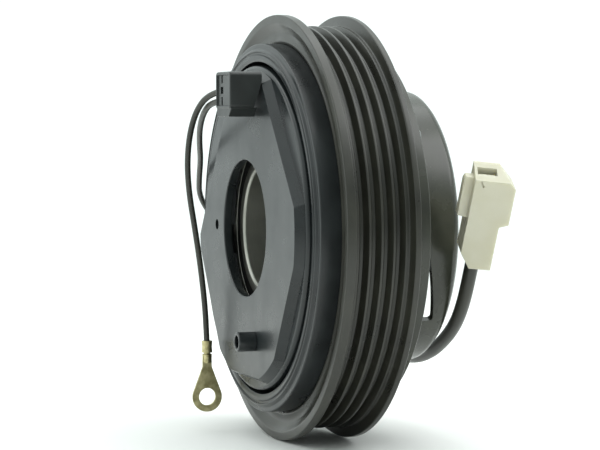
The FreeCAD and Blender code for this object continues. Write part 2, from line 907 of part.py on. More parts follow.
def connector():
    """White one-way housing: narrow tail, wide head with a rail, mouth at the far end, blade inside."""
    body = new_body("connector_housing")
    outline = polygon(
        body,
        "XZ_Plane",
        (
            ("-tail_width / 2 + tail_chamfer", "0"),
            ("tail_width / 2", "0"),
            ("tail_width / 2", "tail_length"),
            ("head_right", "tail_length + rail_overlap"),
            ("head_right", "housing_length - head_slope"),
            ("head_right - head_chamfer", "housing_length"),
            ("-head_left", "housing_length"),
            ("-head_left", "tail_length"),
            ("-tail_width / 2", "tail_length"),
            ("-tail_width / 2", "tail_slope"),
        ),
    )
    bind(feature(body, "Pad", outline, Midplane=True), Length="housing_depth")
    rail = rectangle(
        body,
        "XZ_Plane",
        "-head_left - rail_width",
        "-head_left + rail_overlap",
        "tail_length + rail_overlap",
        "housing_length - rail_inset",
    )
    bind(feature(body, "Pad", rail, Midplane=True), Length="rail_depth")
    doc.recompute()
    mouth_left = "(head_right - head_chamfer - head_left - mouth_width) / 2"
    mouth = rectangle(
        body,
        "XZ_Plane",
        mouth_left,
        f"{mouth_left} + mouth_width",
        "housing_length - mouth_depth",
        "housing_length + 1",
    )
    pocket = cut(body, "Pocket", mouth, Midplane=True, Length=1)
    bind(pocket, Length="mouth_gap")
    socket = circle(body, "XY_Plane", "0", "0", "sleeve_diameter / 2")
    hole = cut(body, "Pocket", socket, Reversed=True)
    bind(hole, Length="socket_depth")
    place = connector_place()
    keep(body, "connector_housing", place)
    blade = box(
        "blade_width",
        "blade_thickness",
        "blade_length",
        f"{mouth_left} + (mouth_width - blade_width) / 2",
        "-blade_thickness / 2",
        "housing_length - mouth_depth",
    )
    keep(compound([blade]), "connector_terminal", place)


# Armature and stop cup


def armature_plate():
    """Flat driven plate with arc slots and two circles of rivet holes."""
    body = ring("armature_plate", "armature_bore", "armature_radius", "armature_rear", "armature_front")
    slot = rectangle(
        body,
        "XZ_Plane",
        "armature_slot_radius",
        "armature_slot_radius + slot_width",
        "armature_rear - 1",
        "armature_front + 1",
    )
    groove = revolve(body, "Groove", slot, "armature_slot_sweep", symmetric=True)
    around(body, [groove], "armature_slot_count")
    drill(body, *polar("spring_circle", f"{ARM_ANGLE} + spring_sweep"), "rivet_radius", "3")
    drill(body, *polar("cup_rivet_circle", ARM_ANGLE), "rivet_radius", "3")
    return keep(body, "armature_plate")


def stop_cup():
    """Pressed cup on the armature: rounded front rim, three feet and three slanting windows."""
    body = turned(
        "stop_cup",
        (
            ("cup_bore", "armature_front"),
            ("foot_radius", "armature_front"),
            ("foot_radius", "armature_front + foot_thickness"),
            ("cup_radius", "armature_front + foot_thickness"),
            ("cup_radius", "cup_front - cup_corner"),
            ("cup_radius - cup_corner * corner_share", "cup_front - cup_corner * corner_share"),
            ("cup_radius - cup_corner", "cup_front"),
            ("rim_bore", "cup_front"),
            ("rim_bore", "cup_front - foot_thickness"),
            ("cup_bore", "cup_front - foot_thickness"),
        ),
    )
    edge = "cup_radius * sin(window_sweep / 2)"
    low = "armature_front - 1"
    window = polygon(
        body,
        "YZ_Plane",
        (
            (f"-{edge}", low),
            (edge, low),
            (edge, "armature_front + window_high"),
            (f"-{edge}", "armature_front + window_low"),
        ),
    )
    opening = cut(body, "Pocket", window, Type=1, Reversed=True)
    around(body, [opening], "3")
    waste = rectangle(
        body, "XZ_Plane", "cup_radius", "foot_radius + 1", low, "armature_front + foot_thickness + 0.01"
    )
    trim = revolve(body, "Groove", waste, "(120 - foot_sweep)", symmetric=True)
    around(body, [trim], "3")
    drill(body, *polar("cup_rivet_circle", 60), "rivet_radius", "3")
    feet_on_arms = FreeCAD.Placement(Vector(), FreeCAD.Rotation(Vector(0, 0, 1), ARM_ANGLE - 60))
    return keep(body, "stop_cup", AXIS * feet_on_arms)


def rivets(label, circle_name, angle, steps):
    """Three stepped rivets on a circle; steps are (radius, rear, front)."""
    made = []
    for turn in THIRDS:
        across, up = polar(circle_name, f"{angle} + {turn}")
        made.append(fuse(*[cylinder(radius, low, high, across, up) for radius, low, high in steps]))
    return keep(compound(made), label)


def armature_rivets():
    rivets(
        "spring_rivets",
        "spring_circle",
        f"{ARM_ANGLE} + spring_sweep",
        (
            ("rivet_radius", "armature_rear", "armature_front"),
            ("rivet_head", "armature_front", "spring_rear"),
            ("rivet_radius", "spring_rear", "spring_front"),
            ("rivet_head", "spring_front", "spring_front + head_height"),
        ),
    )


# Hub and springs


def splined_hub():
    """Steel hub: pilot bore and splines for the shaft, and a flange with three arms."""
    body = turned(
        "splined_hub",
        (
            ("pilot_radius", "hub_rear"),
            ("hub_radius", "hub_rear"),
            ("hub_radius", "spring_front"),
            ("flange_radius", "spring_front"),
            ("flange_radius", "spring_front + flange_thickness"),
            ("hub_radius", "spring_front + flange_thickness"),
            ("hub_radius", "hub_front"),
            ("bolt_recess", "hub_front"),
            ("bolt_recess", "spline_front + stop_length"),
            ("stop_radius", "spline_front + stop_length"),
            ("stop_radius", "spline_front"),
            ("spline_minor", "spline_front"),
            ("spline_minor", "hub_rear + pilot_depth"),
            ("pilot_radius", "hub_rear + pilot_depth"),
        ),
    )
    arm = rectangle(body, "XY_Plane", "bolt_recess + 2", "arm_circle", "-arm_radius", "arm_radius")
    arm.AttachmentOffset = FreeCAD.Placement(Vector(0, 0, 1), FreeCAD.Rotation())
    arm.setExpression("AttachmentOffset.Base.z", bound("spring_front"))
    arm_pad = bind(feature(body, "Pad", arm), Length="flange_thickness")
    tip = circle(body, "XY_Plane", "arm_circle", "0", "arm_radius")
    tip.AttachmentOffset = FreeCAD.Placement(Vector(0, 0, 1), FreeCAD.Rotation())
    tip.setExpression("AttachmentOffset.Base.z", bound("spring_front"))
    tip_pad = bind(feature(body, "Pad", tip), Length="flange_thickness")
    around(body, [arm_pad, tip_pad], "3")
    drill(body, "arm_circle", "0", "rivet_radius", "3")
    space = rectangle(
        body, "XY_Plane", "stop_radius", "spline_radius", "-spline_half_width", "spline_half_width"
    )
    space.AttachmentOffset = FreeCAD.Placement(Vector(0, 0, 1), FreeCAD.Rotation())
    space.setExpression("AttachmentOffset.Base.z", bound("hub_rear + pilot_depth"))
    tooth = cut(body, "Pocket", space, Reversed=True)
    bind(tooth, Length="spline_depth")
    around(body, [tooth], "spline_count")
    turn = FreeCAD.Placement(Vector(), FreeCAD.Rotation(Vector(0, 0, 1), ARM_ANGLE))
    return keep(body, "splined_hub", AXIS * turn)


def leaf_springs():
    """Three flat strips that pull the armature off the rotor."""
    inner, outer = size("arm_circle"), size("spring_circle")
    sweep = math.radians(size("spring_sweep"))
    span = Vector(outer * math.cos(sweep) - inner, outer * math.sin(sweep), 0)
    tilt = FreeCAD.Rotation(Vector(1, 0, 0), span)
    springs = []
    for turn in THIRDS:
        strip = fuse(
            box(f"{span.Length}", "spring_width", "spring_thickness", "0", "-spring_width / 2", "0"),
            cylinder("spring_width / 2", "0", "spring_thickness"),
            cylinder("spring_width / 2", "0", "spring_thickness", f"{span.Length}"),
        )
        holes = [
            cylinder("rivet_radius", "-1", "spring_thickness + 1"),
            cylinder("rivet_radius + spring_play", "-1", "spring_thickness + 1", f"{span.Length}"),
        ]
        spring = subtract(strip, *holes)
        spot = FreeCAD.Placement(Vector(inner, 0, size("spring_rear")), tilt)
        place = FreeCAD.Placement(Vector(), FreeCAD.Rotation(Vector(0, 0, 1), ARM_ANGLE + turn))
        spring.Placement = place * spot
        springs.append(spring)
    return keep(compound(springs), "leaf_springs")


def air_gap_shims():
    """Two thin washers between the hub's stop and the shaft's shoulder."""
    shims = []
    for i in (1, 2):
        low = f"spline_front - shim_thickness * {i}"
        high = f"{low} + shim_thickness"
        disc = cylinder("spline_minor - shim_play", low, high)
        shims.append(subtract(disc, cylinder("stop_radius + shim_play", low, high)))
    return keep(compound(shims), "air_gap_shims")


belt_ring()
rotor()
friction_ring()
bearing_rings()
bearing_balls()
bearing_cages()
bearing_seals()
bearing_retaining_ring()
coil_plate()
coil_shell()
coil_bobbin()
coil_winding()
coil_potting()
locating_pin()
lead_block()
tube("ground_lead", GROUND_ROUTE, "lead_diameter")
tube("power_lead", POWER_ROUTE, "lead_diameter")
tube("lead_sleeve", SLEEVE_ROUTE, "sleeve_diameter")
ring_terminal()
connector()
armature_plate()
stop_cup()
armature_rivets()
rivets(
    "cup_rivets",
    "cup_rivet_circle",
    ARM_ANGLE,
    (
        ("rivet_radius", "armature_rear", "armature_front + foot_thickness"),
        ("rivet_head", "armature_front + foot_thickness", "armature_front + foot_thickness + head_height"),
    ),
)
splined_hub()
rivets(
    "hub_rivets",
    "arm_circle",
    ARM_ANGLE,
    (
        ("rivet_head", "spring_rear - head_height", "spring_rear"),
        ("rivet_radius", "spring_rear", "spring_front + flange_thickness"),
        (
            "rivet_head",
            "spring_front + flange_thickness",
            "spring_front + flange_thickness + head_height",
        ),
    ),
)
leaf_springs()
air_gap_shims()
doc.recompute()

for thing in doc.Objects:
    if {"Invalid", "Error"} & set(thing.State):
        raise RuntimeError(f"{thing.Name} ({thing.Label}) failed: {thing.State}")
os.makedirs("parts", exist_ok=True)
for label, thing in NODES.items():
    shape = thing.Shape
    if shape.isNull() or not shape.isValid():
        raise RuntimeError(f"{label} has no valid shape")
    shape.exportStep(f"parts/{label}.step")
    print(f"{label}: {len(shape.Solids)} solid(s), {shape.Volume:.1f} mm3")
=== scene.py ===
"""Looks of an electromagnetic clutch for an air-conditioning compressor, built round its CAD frame.

The shaft lies along Y: +Y is the mounting side and -Y the hub side. A depth is measured forward from the
mounting face, so it is -Y. Angles run from +X towards +Z. Every length is in metres.
"""

import logging
import math
from dataclasses import dataclass
from enum import Enum
from typing import Callable, Iterable, Sequence

import bmesh
import bpy
from mathutils import Matrix, Vector


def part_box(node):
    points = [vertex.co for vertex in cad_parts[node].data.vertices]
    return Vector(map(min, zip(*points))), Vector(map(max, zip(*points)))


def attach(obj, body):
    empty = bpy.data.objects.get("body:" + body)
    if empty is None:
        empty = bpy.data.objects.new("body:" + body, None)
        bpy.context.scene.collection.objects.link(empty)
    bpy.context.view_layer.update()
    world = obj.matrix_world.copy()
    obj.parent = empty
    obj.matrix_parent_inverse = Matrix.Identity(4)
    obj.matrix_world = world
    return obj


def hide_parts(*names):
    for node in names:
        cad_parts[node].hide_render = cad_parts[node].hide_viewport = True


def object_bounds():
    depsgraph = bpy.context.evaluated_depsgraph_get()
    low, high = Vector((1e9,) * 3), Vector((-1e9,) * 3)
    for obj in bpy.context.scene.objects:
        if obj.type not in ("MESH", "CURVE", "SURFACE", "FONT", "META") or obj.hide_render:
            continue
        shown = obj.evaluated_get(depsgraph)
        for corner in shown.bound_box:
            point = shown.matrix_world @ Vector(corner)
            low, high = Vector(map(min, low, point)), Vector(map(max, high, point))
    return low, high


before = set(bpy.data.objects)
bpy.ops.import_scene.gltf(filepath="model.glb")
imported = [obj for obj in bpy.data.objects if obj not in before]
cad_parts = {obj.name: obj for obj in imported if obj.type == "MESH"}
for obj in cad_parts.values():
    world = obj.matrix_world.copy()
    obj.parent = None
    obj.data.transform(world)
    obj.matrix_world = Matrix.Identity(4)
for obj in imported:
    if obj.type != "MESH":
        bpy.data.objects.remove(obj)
CAD_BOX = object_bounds()

MM = 0.001
THIRDS = (0.0, 120.0, 240.0)
SHAFT = Vector((0.0, -1.0, 0.0))
RING_STEPS = 192
ROUND_STEPS = 3

# How far a cutter reaches past what it cuts, and how close points are to be merged.
CLEARANCE = 1.0 * MM
SAME_POINT = 0.0005 * MM
# The first of the hub's three arms, in degrees, and the springs' outer ends, which both sides share.
FIRST_ARM = 23.5
SPRING_CIRCLE = 34.0 * MM
SPRING_SWEEP = 51.5
# Every rivet's shank and head radius, and the height of its domed head.
RIVET_RADIUS = 2.0 * MM
RIVET_HEAD = 3.2 * MM
HEAD_HEIGHT = 1.3 * MM

log = logging.getLogger("clutch")

Corner = tuple[float, float, float]
Colour = tuple[float, float, float, float]


# Finishes


def linear(code: str) -> Colour:
    """Turns an sRGB hex colour into the linear one that shaders take.

    Args:
        code: The colour as "#rrggbb".

    Returns:
        Red, green, blue and an alpha of 1.
    """

    def channel(value: float) -> float:
        """One channel, by the sRGB curve."""
        return value / 12.92 if value <= 0.04045 else ((value + 0.055) / 1.055) ** 2.4

    red, green, blue = (channel(int(code[i : i + 2], 16) / 255) for i in (1, 3, 5))
    return (red, green, blue, 1.0)


def add(
    tree: bpy.types.NodeTree, kind: str, inputs: dict[str | int, object], **settings: object
) -> bpy.types.Node:
    """Adds one shader node.

    Args:
        tree: The material's or world's node tree.
        kind: The node's type without its ShaderNode prefix.
        inputs: A value or a socket to link from, for each input's name or number.
        **settings: Properties of the node, set before its inputs.

    Returns:
        The new node.
    """
    node = tree.nodes.new("ShaderNode" + kind)
    for name, value in settings.items():
        setattr(node, name, value)
    for name, value in inputs.items():
        if isinstance(value, bpy.types.NodeSocket):
            tree.links.new(value, node.inputs[name])
        else:
            node.inputs[name].default_value = value
    return node


class Relief(Enum):
    """How a surface was made, which sets the fine relief on it."""

    SPRAYED = "even orange peel of a dipped or sprayed coat"
    TURNED = "rings left by a lathe round the shaft"
    MOULDED = "fine grain of a moulding tool"
    ROLLED = "streaks along Z, from rolling or drawing"
    WOUND = "turns of wire side by side along the shaft"


# Noise detail of the relief and of the patches, and the noise values between which a patch fades.
RELIEF_DETAIL = 3.0
PATCH_DETAIL = 4.0
PATCH_EDGES = (0.35, 0.65)
GLOSS_EDGES = (0.3, 0.7)
# A wave texture of scale 1 has one band in this many metres.
WAVE_BAND = math.pi / 10
# A rolled surface's pattern is scaled by this along Z, which draws it out into streaks.
STREAK_SQUEEZE = 0.08
# How far and how warmly light travels inside a translucent plastic.
SCATTER_REACH = 2.5 * MM
SCATTER_TINT = (1.0, 1.0, 0.85)


@dataclass(frozen=True)
class Finish:
    """A material, from what it is made of and how its surface was made.

    Colours are sRGB hex values, and lengths are metres.
    """

    name: str
    colour: str
    second: str
    roughness: float
    relief: Relief
    grain: float
    height: float
    metallic: float = 0.0
    ior: float = 1.5
    patch: float = 11 * MM
    spread: float = 0.06
    streaks: float = 0.0
    glow: float = 0.0

    def material(self) -> bpy.types.Material:
        """The finish's material, made the first time it is asked for."""
        made = bpy.data.materials.get(self.name)
        if made is None:
            made = bpy.data.materials.new(self.name)
            made.use_nodes = True
            self._shade(made.node_tree)
        return made

    def _pattern(self, tree: bpy.types.NodeTree, place: bpy.types.NodeSocket) -> bpy.types.NodeSocket:
        """The relief's height from 0 to 1.

        Args:
            tree: The material's node tree.
            place: Object coordinates.

        Returns:
            The socket that gives the height.
        """
        if self.relief is Relief.WOUND:
            per_turn = WAVE_BAND / self.grain
            return add(
                tree, "TexWave", {"Vector": place, "Scale": per_turn}, bands_direction="Y"
            ).outputs["Fac"]
        if self.relief is Relief.TURNED:
            parts = add(tree, "SeparateXYZ", {0: place}).outputs
            flat = add(tree, "CombineXYZ", {"X": parts["X"], "Z": parts["Z"]}).outputs[0]
            radius = add(tree, "VectorMath", {0: flat}, operation="LENGTH").outputs["Value"]
            place = add(tree, "CombineXYZ", {"X": radius, "Y": parts["Y"]}).outputs[0]
        if self.relief is Relief.ROLLED:
            place = add(tree, "Mapping", {"Vector": place, "Scale": (1.0, 1.0, STREAK_SQUEEZE)}).outputs[0]
        return add(
            tree, "TexNoise", {"Vector": place, "Scale": 1 / self.grain, "Detail": RELIEF_DETAIL}
        ).outputs["Fac"]

    def _shade(self, tree: bpy.types.NodeTree) -> None:
        """Builds the nodes: colour and gloss vary by patches, and relief comes from the pattern."""
        tree.nodes.clear()
        place = add(tree, "TexCoord", {}).outputs["Object"]
        pattern = self._pattern(tree, place)
        cloud = add(
            tree, "TexNoise", {"Vector": place, "Scale": 1 / self.patch, "Detail": PATCH_DETAIL}
        ).outputs["Fac"]
        weight = add(
            tree,
            "MapRange",
            {"Value": cloud, "From Min": PATCH_EDGES[0], "From Max": PATCH_EDGES[1]},
        ).outputs["Result"]
        if self.streaks:
            weight = add(
                tree, "Mix", {0: self.streaks, 2: weight, 3: pattern}, data_type="FLOAT"
            ).outputs[0]
        shade = add(
            tree,
            "Mix",
            {0: weight, 6: linear(self.colour), 7: linear(self.second)},
            data_type="RGBA",
        ).outputs[2]
        gloss = add(
            tree,
            "MapRange",
            {
                "Value": cloud,
                "From Min": GLOSS_EDGES[0],
                "From Max": GLOSS_EDGES[1],
                "To Min": self.roughness - self.spread,
                "To Max": self.roughness + self.spread,
            },
        ).outputs["Result"]
        relief = add(
            tree, "Bump", {"Height": pattern, "Distance": self.height, "Strength": 1.0}
        ).outputs["Normal"]
        surface = add(
            tree,
            "BsdfPrincipled",
            {"Base Color": shade, "Roughness": gloss, "Metallic": self.metallic, "Normal": relief},
        )
        if not self.metallic:
            surface.inputs["IOR"].default_value = self.ior
        if self.glow:
            surface.inputs["Subsurface Weight"].default_value = self.glow
            surface.inputs["Subsurface Radius"].default_value = SCATTER_TINT
            surface.inputs["Subsurface Scale"].default_value = SCATTER_REACH
        add(tree, "OutputMaterial", {"Surface": surface.outputs[0]})


# Cathodic black paint over pressed steel: a satin skin whose faint orange peel softens reflections.
# The peel's lumps are drawn 1.4 mm wide, coarser than the real ones, so that they show.
E_COAT = Finish(
    "e_coated_pressed_steel", "#191d1e", "#202526", 0.3, Relief.SPRAYED, 1.4 * MM, 0.004 * MM
)
# The same paint on the cup and the armature, with a warmer cast and a little more gloss.
CUP_PAINT = Finish(
    "e_coated_drawn_cup", "#2e2f28", "#383a31", 0.24, Relief.SPRAYED, 1.6 * MM, 0.003 * MM
)
# Paint over lathe-cut steel: the tool's rings show through as thin lines of gloss.
PAINTED_TURNED = Finish(
    "e_coated_turned_pulley", "#272722", "#31312a", 0.32, Relief.TURNED, 0.5 * MM, 0.006 * MM
)
# Soft magnet iron left thinly painted, where the rotor runs close to the coil.
ROTOR_IRON = Finish(
    "painted_magnet_iron", "#1b1e1f", "#25292a", 0.32, Relief.TURNED, 0.45 * MM, 0.008 * MM
)
# Ground bearing steel with a film of oil that has browned it.
BEARING_STEEL = Finish(
    "ground_bearing_steel", "#b4b4ac", "#94948c", 0.44, Relief.TURNED, 0.35 * MM, 0.003 * MM,
    metallic=1.0, streaks=0.5,
)
# Blued spring strip, rolled to its thickness.
SPRING_STEEL = Finish(
    "rolled_spring_steel", "#6d6f70", "#54585c", 0.3, Relief.ROLLED, 0.4 * MM, 0.004 * MM,
    metallic=1.0, streaks=0.4,
)
# Zinc-plated rivets: dull silver with a cloudy cast.
ZINC = Finish(
    "zinc_plated_steel", "#a3a6a4", "#85898a", 0.36, Relief.SPRAYED, 0.5 * MM, 0.004 * MM,
    metallic=1.0, patch=2.5 * MM,
)
# Bonded friction compound: matt, grey-brown and pitted.
FACING = Finish(
    "bonded_friction_facing", "#4a443c", "#2e2a26", 0.85, Relief.MOULDED, 0.35 * MM, 0.05 * MM,
    patch=0.9 * MM,
)
# Nitrile rubber of the seals: matt black with a fine moulded grain.
NITRILE = Finish(
    "moulded_nitrile_rubber", "#1b1a1a", "#232120", 0.6, Relief.MOULDED, 0.3 * MM, 0.008 * MM
)
# Glass-filled polyamide of the ball cages.
CAGE_POLYAMIDE = Finish(
    "glass_filled_polyamide_cage", "#7d6a49", "#69583c", 0.5, Relief.MOULDED, 0.3 * MM, 0.01 * MM
)
# The spool's polyamide, a dull brown-black.
BOBBIN = Finish(
    "moulded_polyamide_spool", "#2a2622", "#211e1b", 0.5, Relief.MOULDED, 0.3 * MM, 0.01 * MM
)
# Enamelled copper, wound in even turns 0.6 mm apart.
COPPER = Finish(
    "enamelled_copper_wire", "#a5562c", "#7e3d1e", 0.3, Relief.WOUND, 0.6 * MM, 0.12 * MM,
    metallic=1.0, streaks=0.6,
)
# Cast epoxy over the winding: glossy, with slow waves where it settled.
EPOXY = Finish(
    "cast_epoxy_potting", "#191713", "#26221b", 0.2, Relief.SPRAYED, 5 * MM, 0.05 * MM, patch=6 * MM
)
# Black polyamide of the lead block: satin, with the tool's spark-eroded grain.
BLOCK_POLYAMIDE = Finish(
    "moulded_black_polyamide", "#1d201f", "#262a29", 0.34, Relief.MOULDED, 0.45 * MM, 0.01 * MM
)
# PVC cover of the leads: smooth, slightly greasy black.
PVC = Finish("extruded_pvc_cover", "#2a2a24", "#35352d", 0.38, Relief.SPRAYED, 1.2 * MM, 0.008 * MM)
# Sleeve of soft PVC tube over the power lead, with a duller skin.
SLEEVE = Finish(
    "extruded_pvc_sleeve", "#2c2c26", "#36362f", 0.4, Relief.SPRAYED, 1.8 * MM, 0.015 * MM
)
# Natural nylon: milky, lets light in a few millimetres and yellows a little where it is thick.
NATURAL_NYLON = Finish(
    "natural_moulded_nylon", "#c9c5b2", "#c0bba3", 0.34, Relief.MOULDED, 0.8 * MM, 0.006 * MM,
    ior=1.53, glow=0.5, patch=14 * MM,
)
# Tinned brass that has dulled to olive in storage.
TINNED_BRASS = Finish(
    "tarnished_tinned_brass", "#cfc69a", "#958c63", 0.42, Relief.ROLLED, 0.5 * MM, 0.006 * MM,
    metallic=1.0, patch=2.2 * MM, streaks=0.2,
)
# Bright tinned brass of the blade inside the connector.
BRIGHT_BRASS = Finish(
    "stamped_tinned_blade", "#b9b7a6", "#9a9885", 0.28, Relief.ROLLED, 0.4 * MM, 0.004 * MM,
    metallic=1.0, patch=2.2 * MM,
)


# Modelling


@dataclass(frozen=True)
class Reach:
    """How far a CAD node goes round the shaft and along it."""

    radius: float
    rear: float
    front: float


def reach(node: str) -> Reach:
    """Measures a node of the frame.

    Args:
        node: The CAD node's name.

    Returns:
        Its largest X from the shaft, and its rear and front depths.
    """
    low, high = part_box(node)
    return Reach(max(high.x, -low.x), -high.y, -low.y)


def polar(radius: float, angle: float, depth: float) -> Vector:
    """The point at a radius, an angle in degrees and a depth."""
    turn = math.radians(angle)
    return Vector((radius * math.cos(turn), -depth, radius * math.sin(turn)))


def placed(
    profile: Sequence[Corner], radius: float, depth: float, forward: float = 1.0
) -> list[Corner]:
    """Places a profile that is given in millimetres.

    Args:
        profile: How far out and how far along each corner is, and its rounding.
        radius: The radius that the profile counts from.
        depth: The depth that it counts from.
        forward: 1 when the profile runs forward, and -1 when it runs to the rear.

    Returns:
        Corners for turned().
    """
    return [
        (radius + out * MM, depth + forward * along * MM, rounding * MM)
        for out, along, rounding in profile
    ]


def turn_to(angle: float) -> Matrix:
    """A turn about the shaft by an angle in degrees."""
    return Matrix.Rotation(math.radians(angle), 4, SHAFT)


def turned(
    corners: Sequence[Corner], sweep: float = 360.0, middle: float = 0.0, steps: int = RING_STEPS
) -> bmesh.types.BMesh:
    """Turns an outline about the shaft.

    Args:
        corners: Radius, depth and rounding of each corner, in order round the section.
        sweep: The angle turned through, in degrees.
        middle: The angle of the middle of a part turn, in degrees.
        steps: How many steps the turn has.

    Returns:
        A closed mesh.
    """
    bm = bmesh.new()
    verts = [bm.verts.new((radius, -depth, 0.0)) for radius, depth, _ in corners]
    on_axis = corners[0][0] == 0 and corners[-1][0] == 0
    following = verts[1:] if on_axis else verts[1:] + verts[:1]
    for start, end in zip(verts, following):
        bm.edges.new((start, end))
    for rounding in sorted({corner[2] for corner in corners} - {0.0}):
        bmesh.ops.bevel(
            bm,
            geom=[vert for vert, corner in zip(verts, corners) if corner[2] == rounding],
            offset=rounding,
            offset_type="OFFSET",
            segments=ROUND_STEPS,
            profile=0.5,
            affect="VERTICES",
            material=-1,
            clamp_overlap=True,
        )
    full = sweep >= 360.0
    bmesh.ops.rotate(bm, verts=bm.verts, matrix=turn_to(0.0 if full else middle - sweep / 2))
    bmesh.ops.spin(
        bm,
        geom=bm.verts[:] + bm.edges[:],
        cent=(0.0, 0.0, 0.0),
        axis=SHAFT,
        angle=math.radians(sweep),
        steps=steps,
        use_merge=full,
    )
    if not full:
        bmesh.ops.holes_fill(bm, edges=[edge for edge in bm.edges if edge.is_boundary], sides=0)
    return tidied(bm)


def tidied(bm: bmesh.types.BMesh) -> bmesh.types.BMesh:
    """Merges doubles and turns the faces outwards."""
    bmesh.ops.remove_doubles(bm, verts=bm.verts, dist=SAME_POINT)
    bmesh.ops.recalc_face_normals(bm, faces=bm.faces)
    return bm


def rod(radius: float, start: Vector, end: Vector, segments: int = 64) -> bmesh.types.BMesh:
    """A plain round bar between two points, used to drill and to build on."""
    bm = bmesh.new()
    way = end - start
    place = Matrix.Translation((start + end) / 2) @ way.to_track_quat("Z", "Y").to_matrix().to_4x4()
    bmesh.ops.create_cone(
        bm, cap_ends=True, segments=segments, radius1=radius, radius2=radius, depth=way.length, matrix=place
    )
    return bm


def block(low: Vector, high: Vector) -> bmesh.types.BMesh:
    """A box between two corners."""
    bm = bmesh.new()
    size = high - low
    place = Matrix.Translation((low + high) / 2) @ Matrix.Diagonal((*size, 1.0))
    bmesh.ops.create_cube(bm, size=1.0, matrix=place)
    return bm


def sliced(bm: bmesh.types.BMesh, point: Vector, outwards: Vector) -> bmesh.types.BMesh:
    """Cuts off what lies beyond a plane and closes the cut.

    Args:
        bm: A closed mesh.
        point: A point on the plane.
        outwards: The plane's normal, towards the waste.

    Returns:
        The same mesh.
    """
    cut = bmesh.ops.bisect_plane(
        bm,
        geom=bm.verts[:] + bm.edges[:] + bm.faces[:],
        plane_co=point,
        plane_no=outwards,
        clear_outer=True,
    )
    edges = [item for item in cut["geom_cut"] if isinstance(item, bmesh.types.BMEdge)]
    bmesh.ops.contextual_create(bm, geom=edges)
    return tidied(bm)


# Faces of a strip that lean apart by less than this many degrees are joined.
FLAT_WITHIN = 0.5


def strip(
    start_radius: float, end_radius: float, start: Vector, end: Vector, thickness: Vector
) -> bmesh.types.BMesh:
    """A flat strip with round ends.

    Args:
        start_radius: The first round end's radius.
        end_radius: The other's.
        start: The middle of the first round end.
        end: The middle of the other.
        thickness: The way through the strip, as long as it is thick.

    Returns:
        A closed mesh.
    """
    bm = bmesh.new()
    for centre, radius in ((start, start_radius), (end, end_radius)):
        disc = rod(radius, centre, centre + thickness)
        joined_into(bm, disc)
    hull = bmesh.ops.convex_hull(bm, input=bm.verts)
    spare = set(hull["geom_interior"] + hull["geom_unused"])
    bmesh.ops.delete(
        bm, geom=[item for item in spare if isinstance(item, bmesh.types.BMVert)], context="VERTS"
    )
    bmesh.ops.dissolve_limit(
        bm, angle_limit=math.radians(FLAT_WITHIN), verts=bm.verts[:], edges=bm.edges[:]
    )
    return tidied(bm)


def joined_into(bm: bmesh.types.BMesh, *others: bmesh.types.BMesh) -> bmesh.types.BMesh:
    """Adds other meshes to one, without merging them.

    Args:
        bm: The mesh that takes them.
        *others: Meshes that are used up.

    Returns:
        The first mesh.
    """
    for other in others:
        carrier = bpy.data.meshes.new("carrier")
        other.to_mesh(carrier)
        other.free()
        bm.from_mesh(carrier)
        bpy.data.meshes.remove(carrier)
    return bm


def moved(bm: bmesh.types.BMesh, matrix: Matrix) -> bmesh.types.BMesh:
    """The mesh after a transform."""
    bmesh.ops.transform(bm, matrix=matrix, verts=bm.verts)
    return bm


def at_thirds(make: Callable[[], bmesh.types.BMesh], first: float) -> bmesh.types.BMesh:
    """Three copies round the shaft.

    Args:
        make: Builds one copy that stands at angle 0.
        first: The first copy's angle in degrees.

    Returns:
        One mesh that holds all three.
    """
    return joined_into(bmesh.new(), *[moved(make(), turn_to(first + turn)) for turn in THIRDS])


def worked(
    bm: bmesh.types.BMesh, tools: Iterable[bmesh.types.BMesh], operation: str = "DIFFERENCE"
) -> bmesh.types.BMesh:
    """Cuts tools from a mesh, or adds them to it.

    Args:
        bm: The mesh to work on, which is used up.
        tools: Closed meshes, used up too.
        operation: DIFFERENCE or UNION.

    Returns:
        The worked mesh.
    """
    made = []
    for item in (bm, *tools):
        mesh = bpy.data.meshes.new("blank")
        item.to_mesh(mesh)
        item.free()
        made.append(bpy.data.objects.new("blank", mesh))
        bpy.context.scene.collection.objects.link(made[-1])
    target = made[0]
    for tool in made[1:]:
        cut = target.modifiers.new("cut", "BOOLEAN")
        cut.operation = operation
        cut.solver = "EXACT"
        cut.object = tool
    graph = bpy.context.evaluated_depsgraph_get()
    result = bmesh.new()
    result.from_mesh(target.evaluated_get(graph).to_mesh())
    for thing in made:
        mesh = thing.data
        bpy.data.objects.remove(thing)
        bpy.data.meshes.remove(mesh)
    return tidied(result)


def softened(
    bm: bmesh.types.BMesh,
    width: float,
    where: Callable[[Vector], bool] = lambda point: True,
    over: float = 28.0,
    segments: int = 2,
) -> bmesh.types.BMesh:
    """Rounds the sharp edges of a mesh.

    Args:
        bm: The mesh.
        width: How far the rounding reaches on each side.
        where: Picks edges by their middle point.
        over: The least angle between an edge's faces, in degrees.
        segments: How many steps the rounding has.

    Returns:
        The same mesh.
    """
    least = math.radians(over)
    edges = [
        edge
        for edge in bm.edges
        if edge.is_manifold
        and edge.calc_face_angle(0.0) > least
        and where((edge.verts[0].co + edge.verts[1].co) / 2)
    ]
    bmesh.ops.bevel(
        bm,
        geom=edges,
        offset=width,
        offset_type="OFFSET",
        segments=segments,
        profile=0.5,
        affect="EDGES",
        material=-1,
        clamp_overlap=True,
    )
    return bm


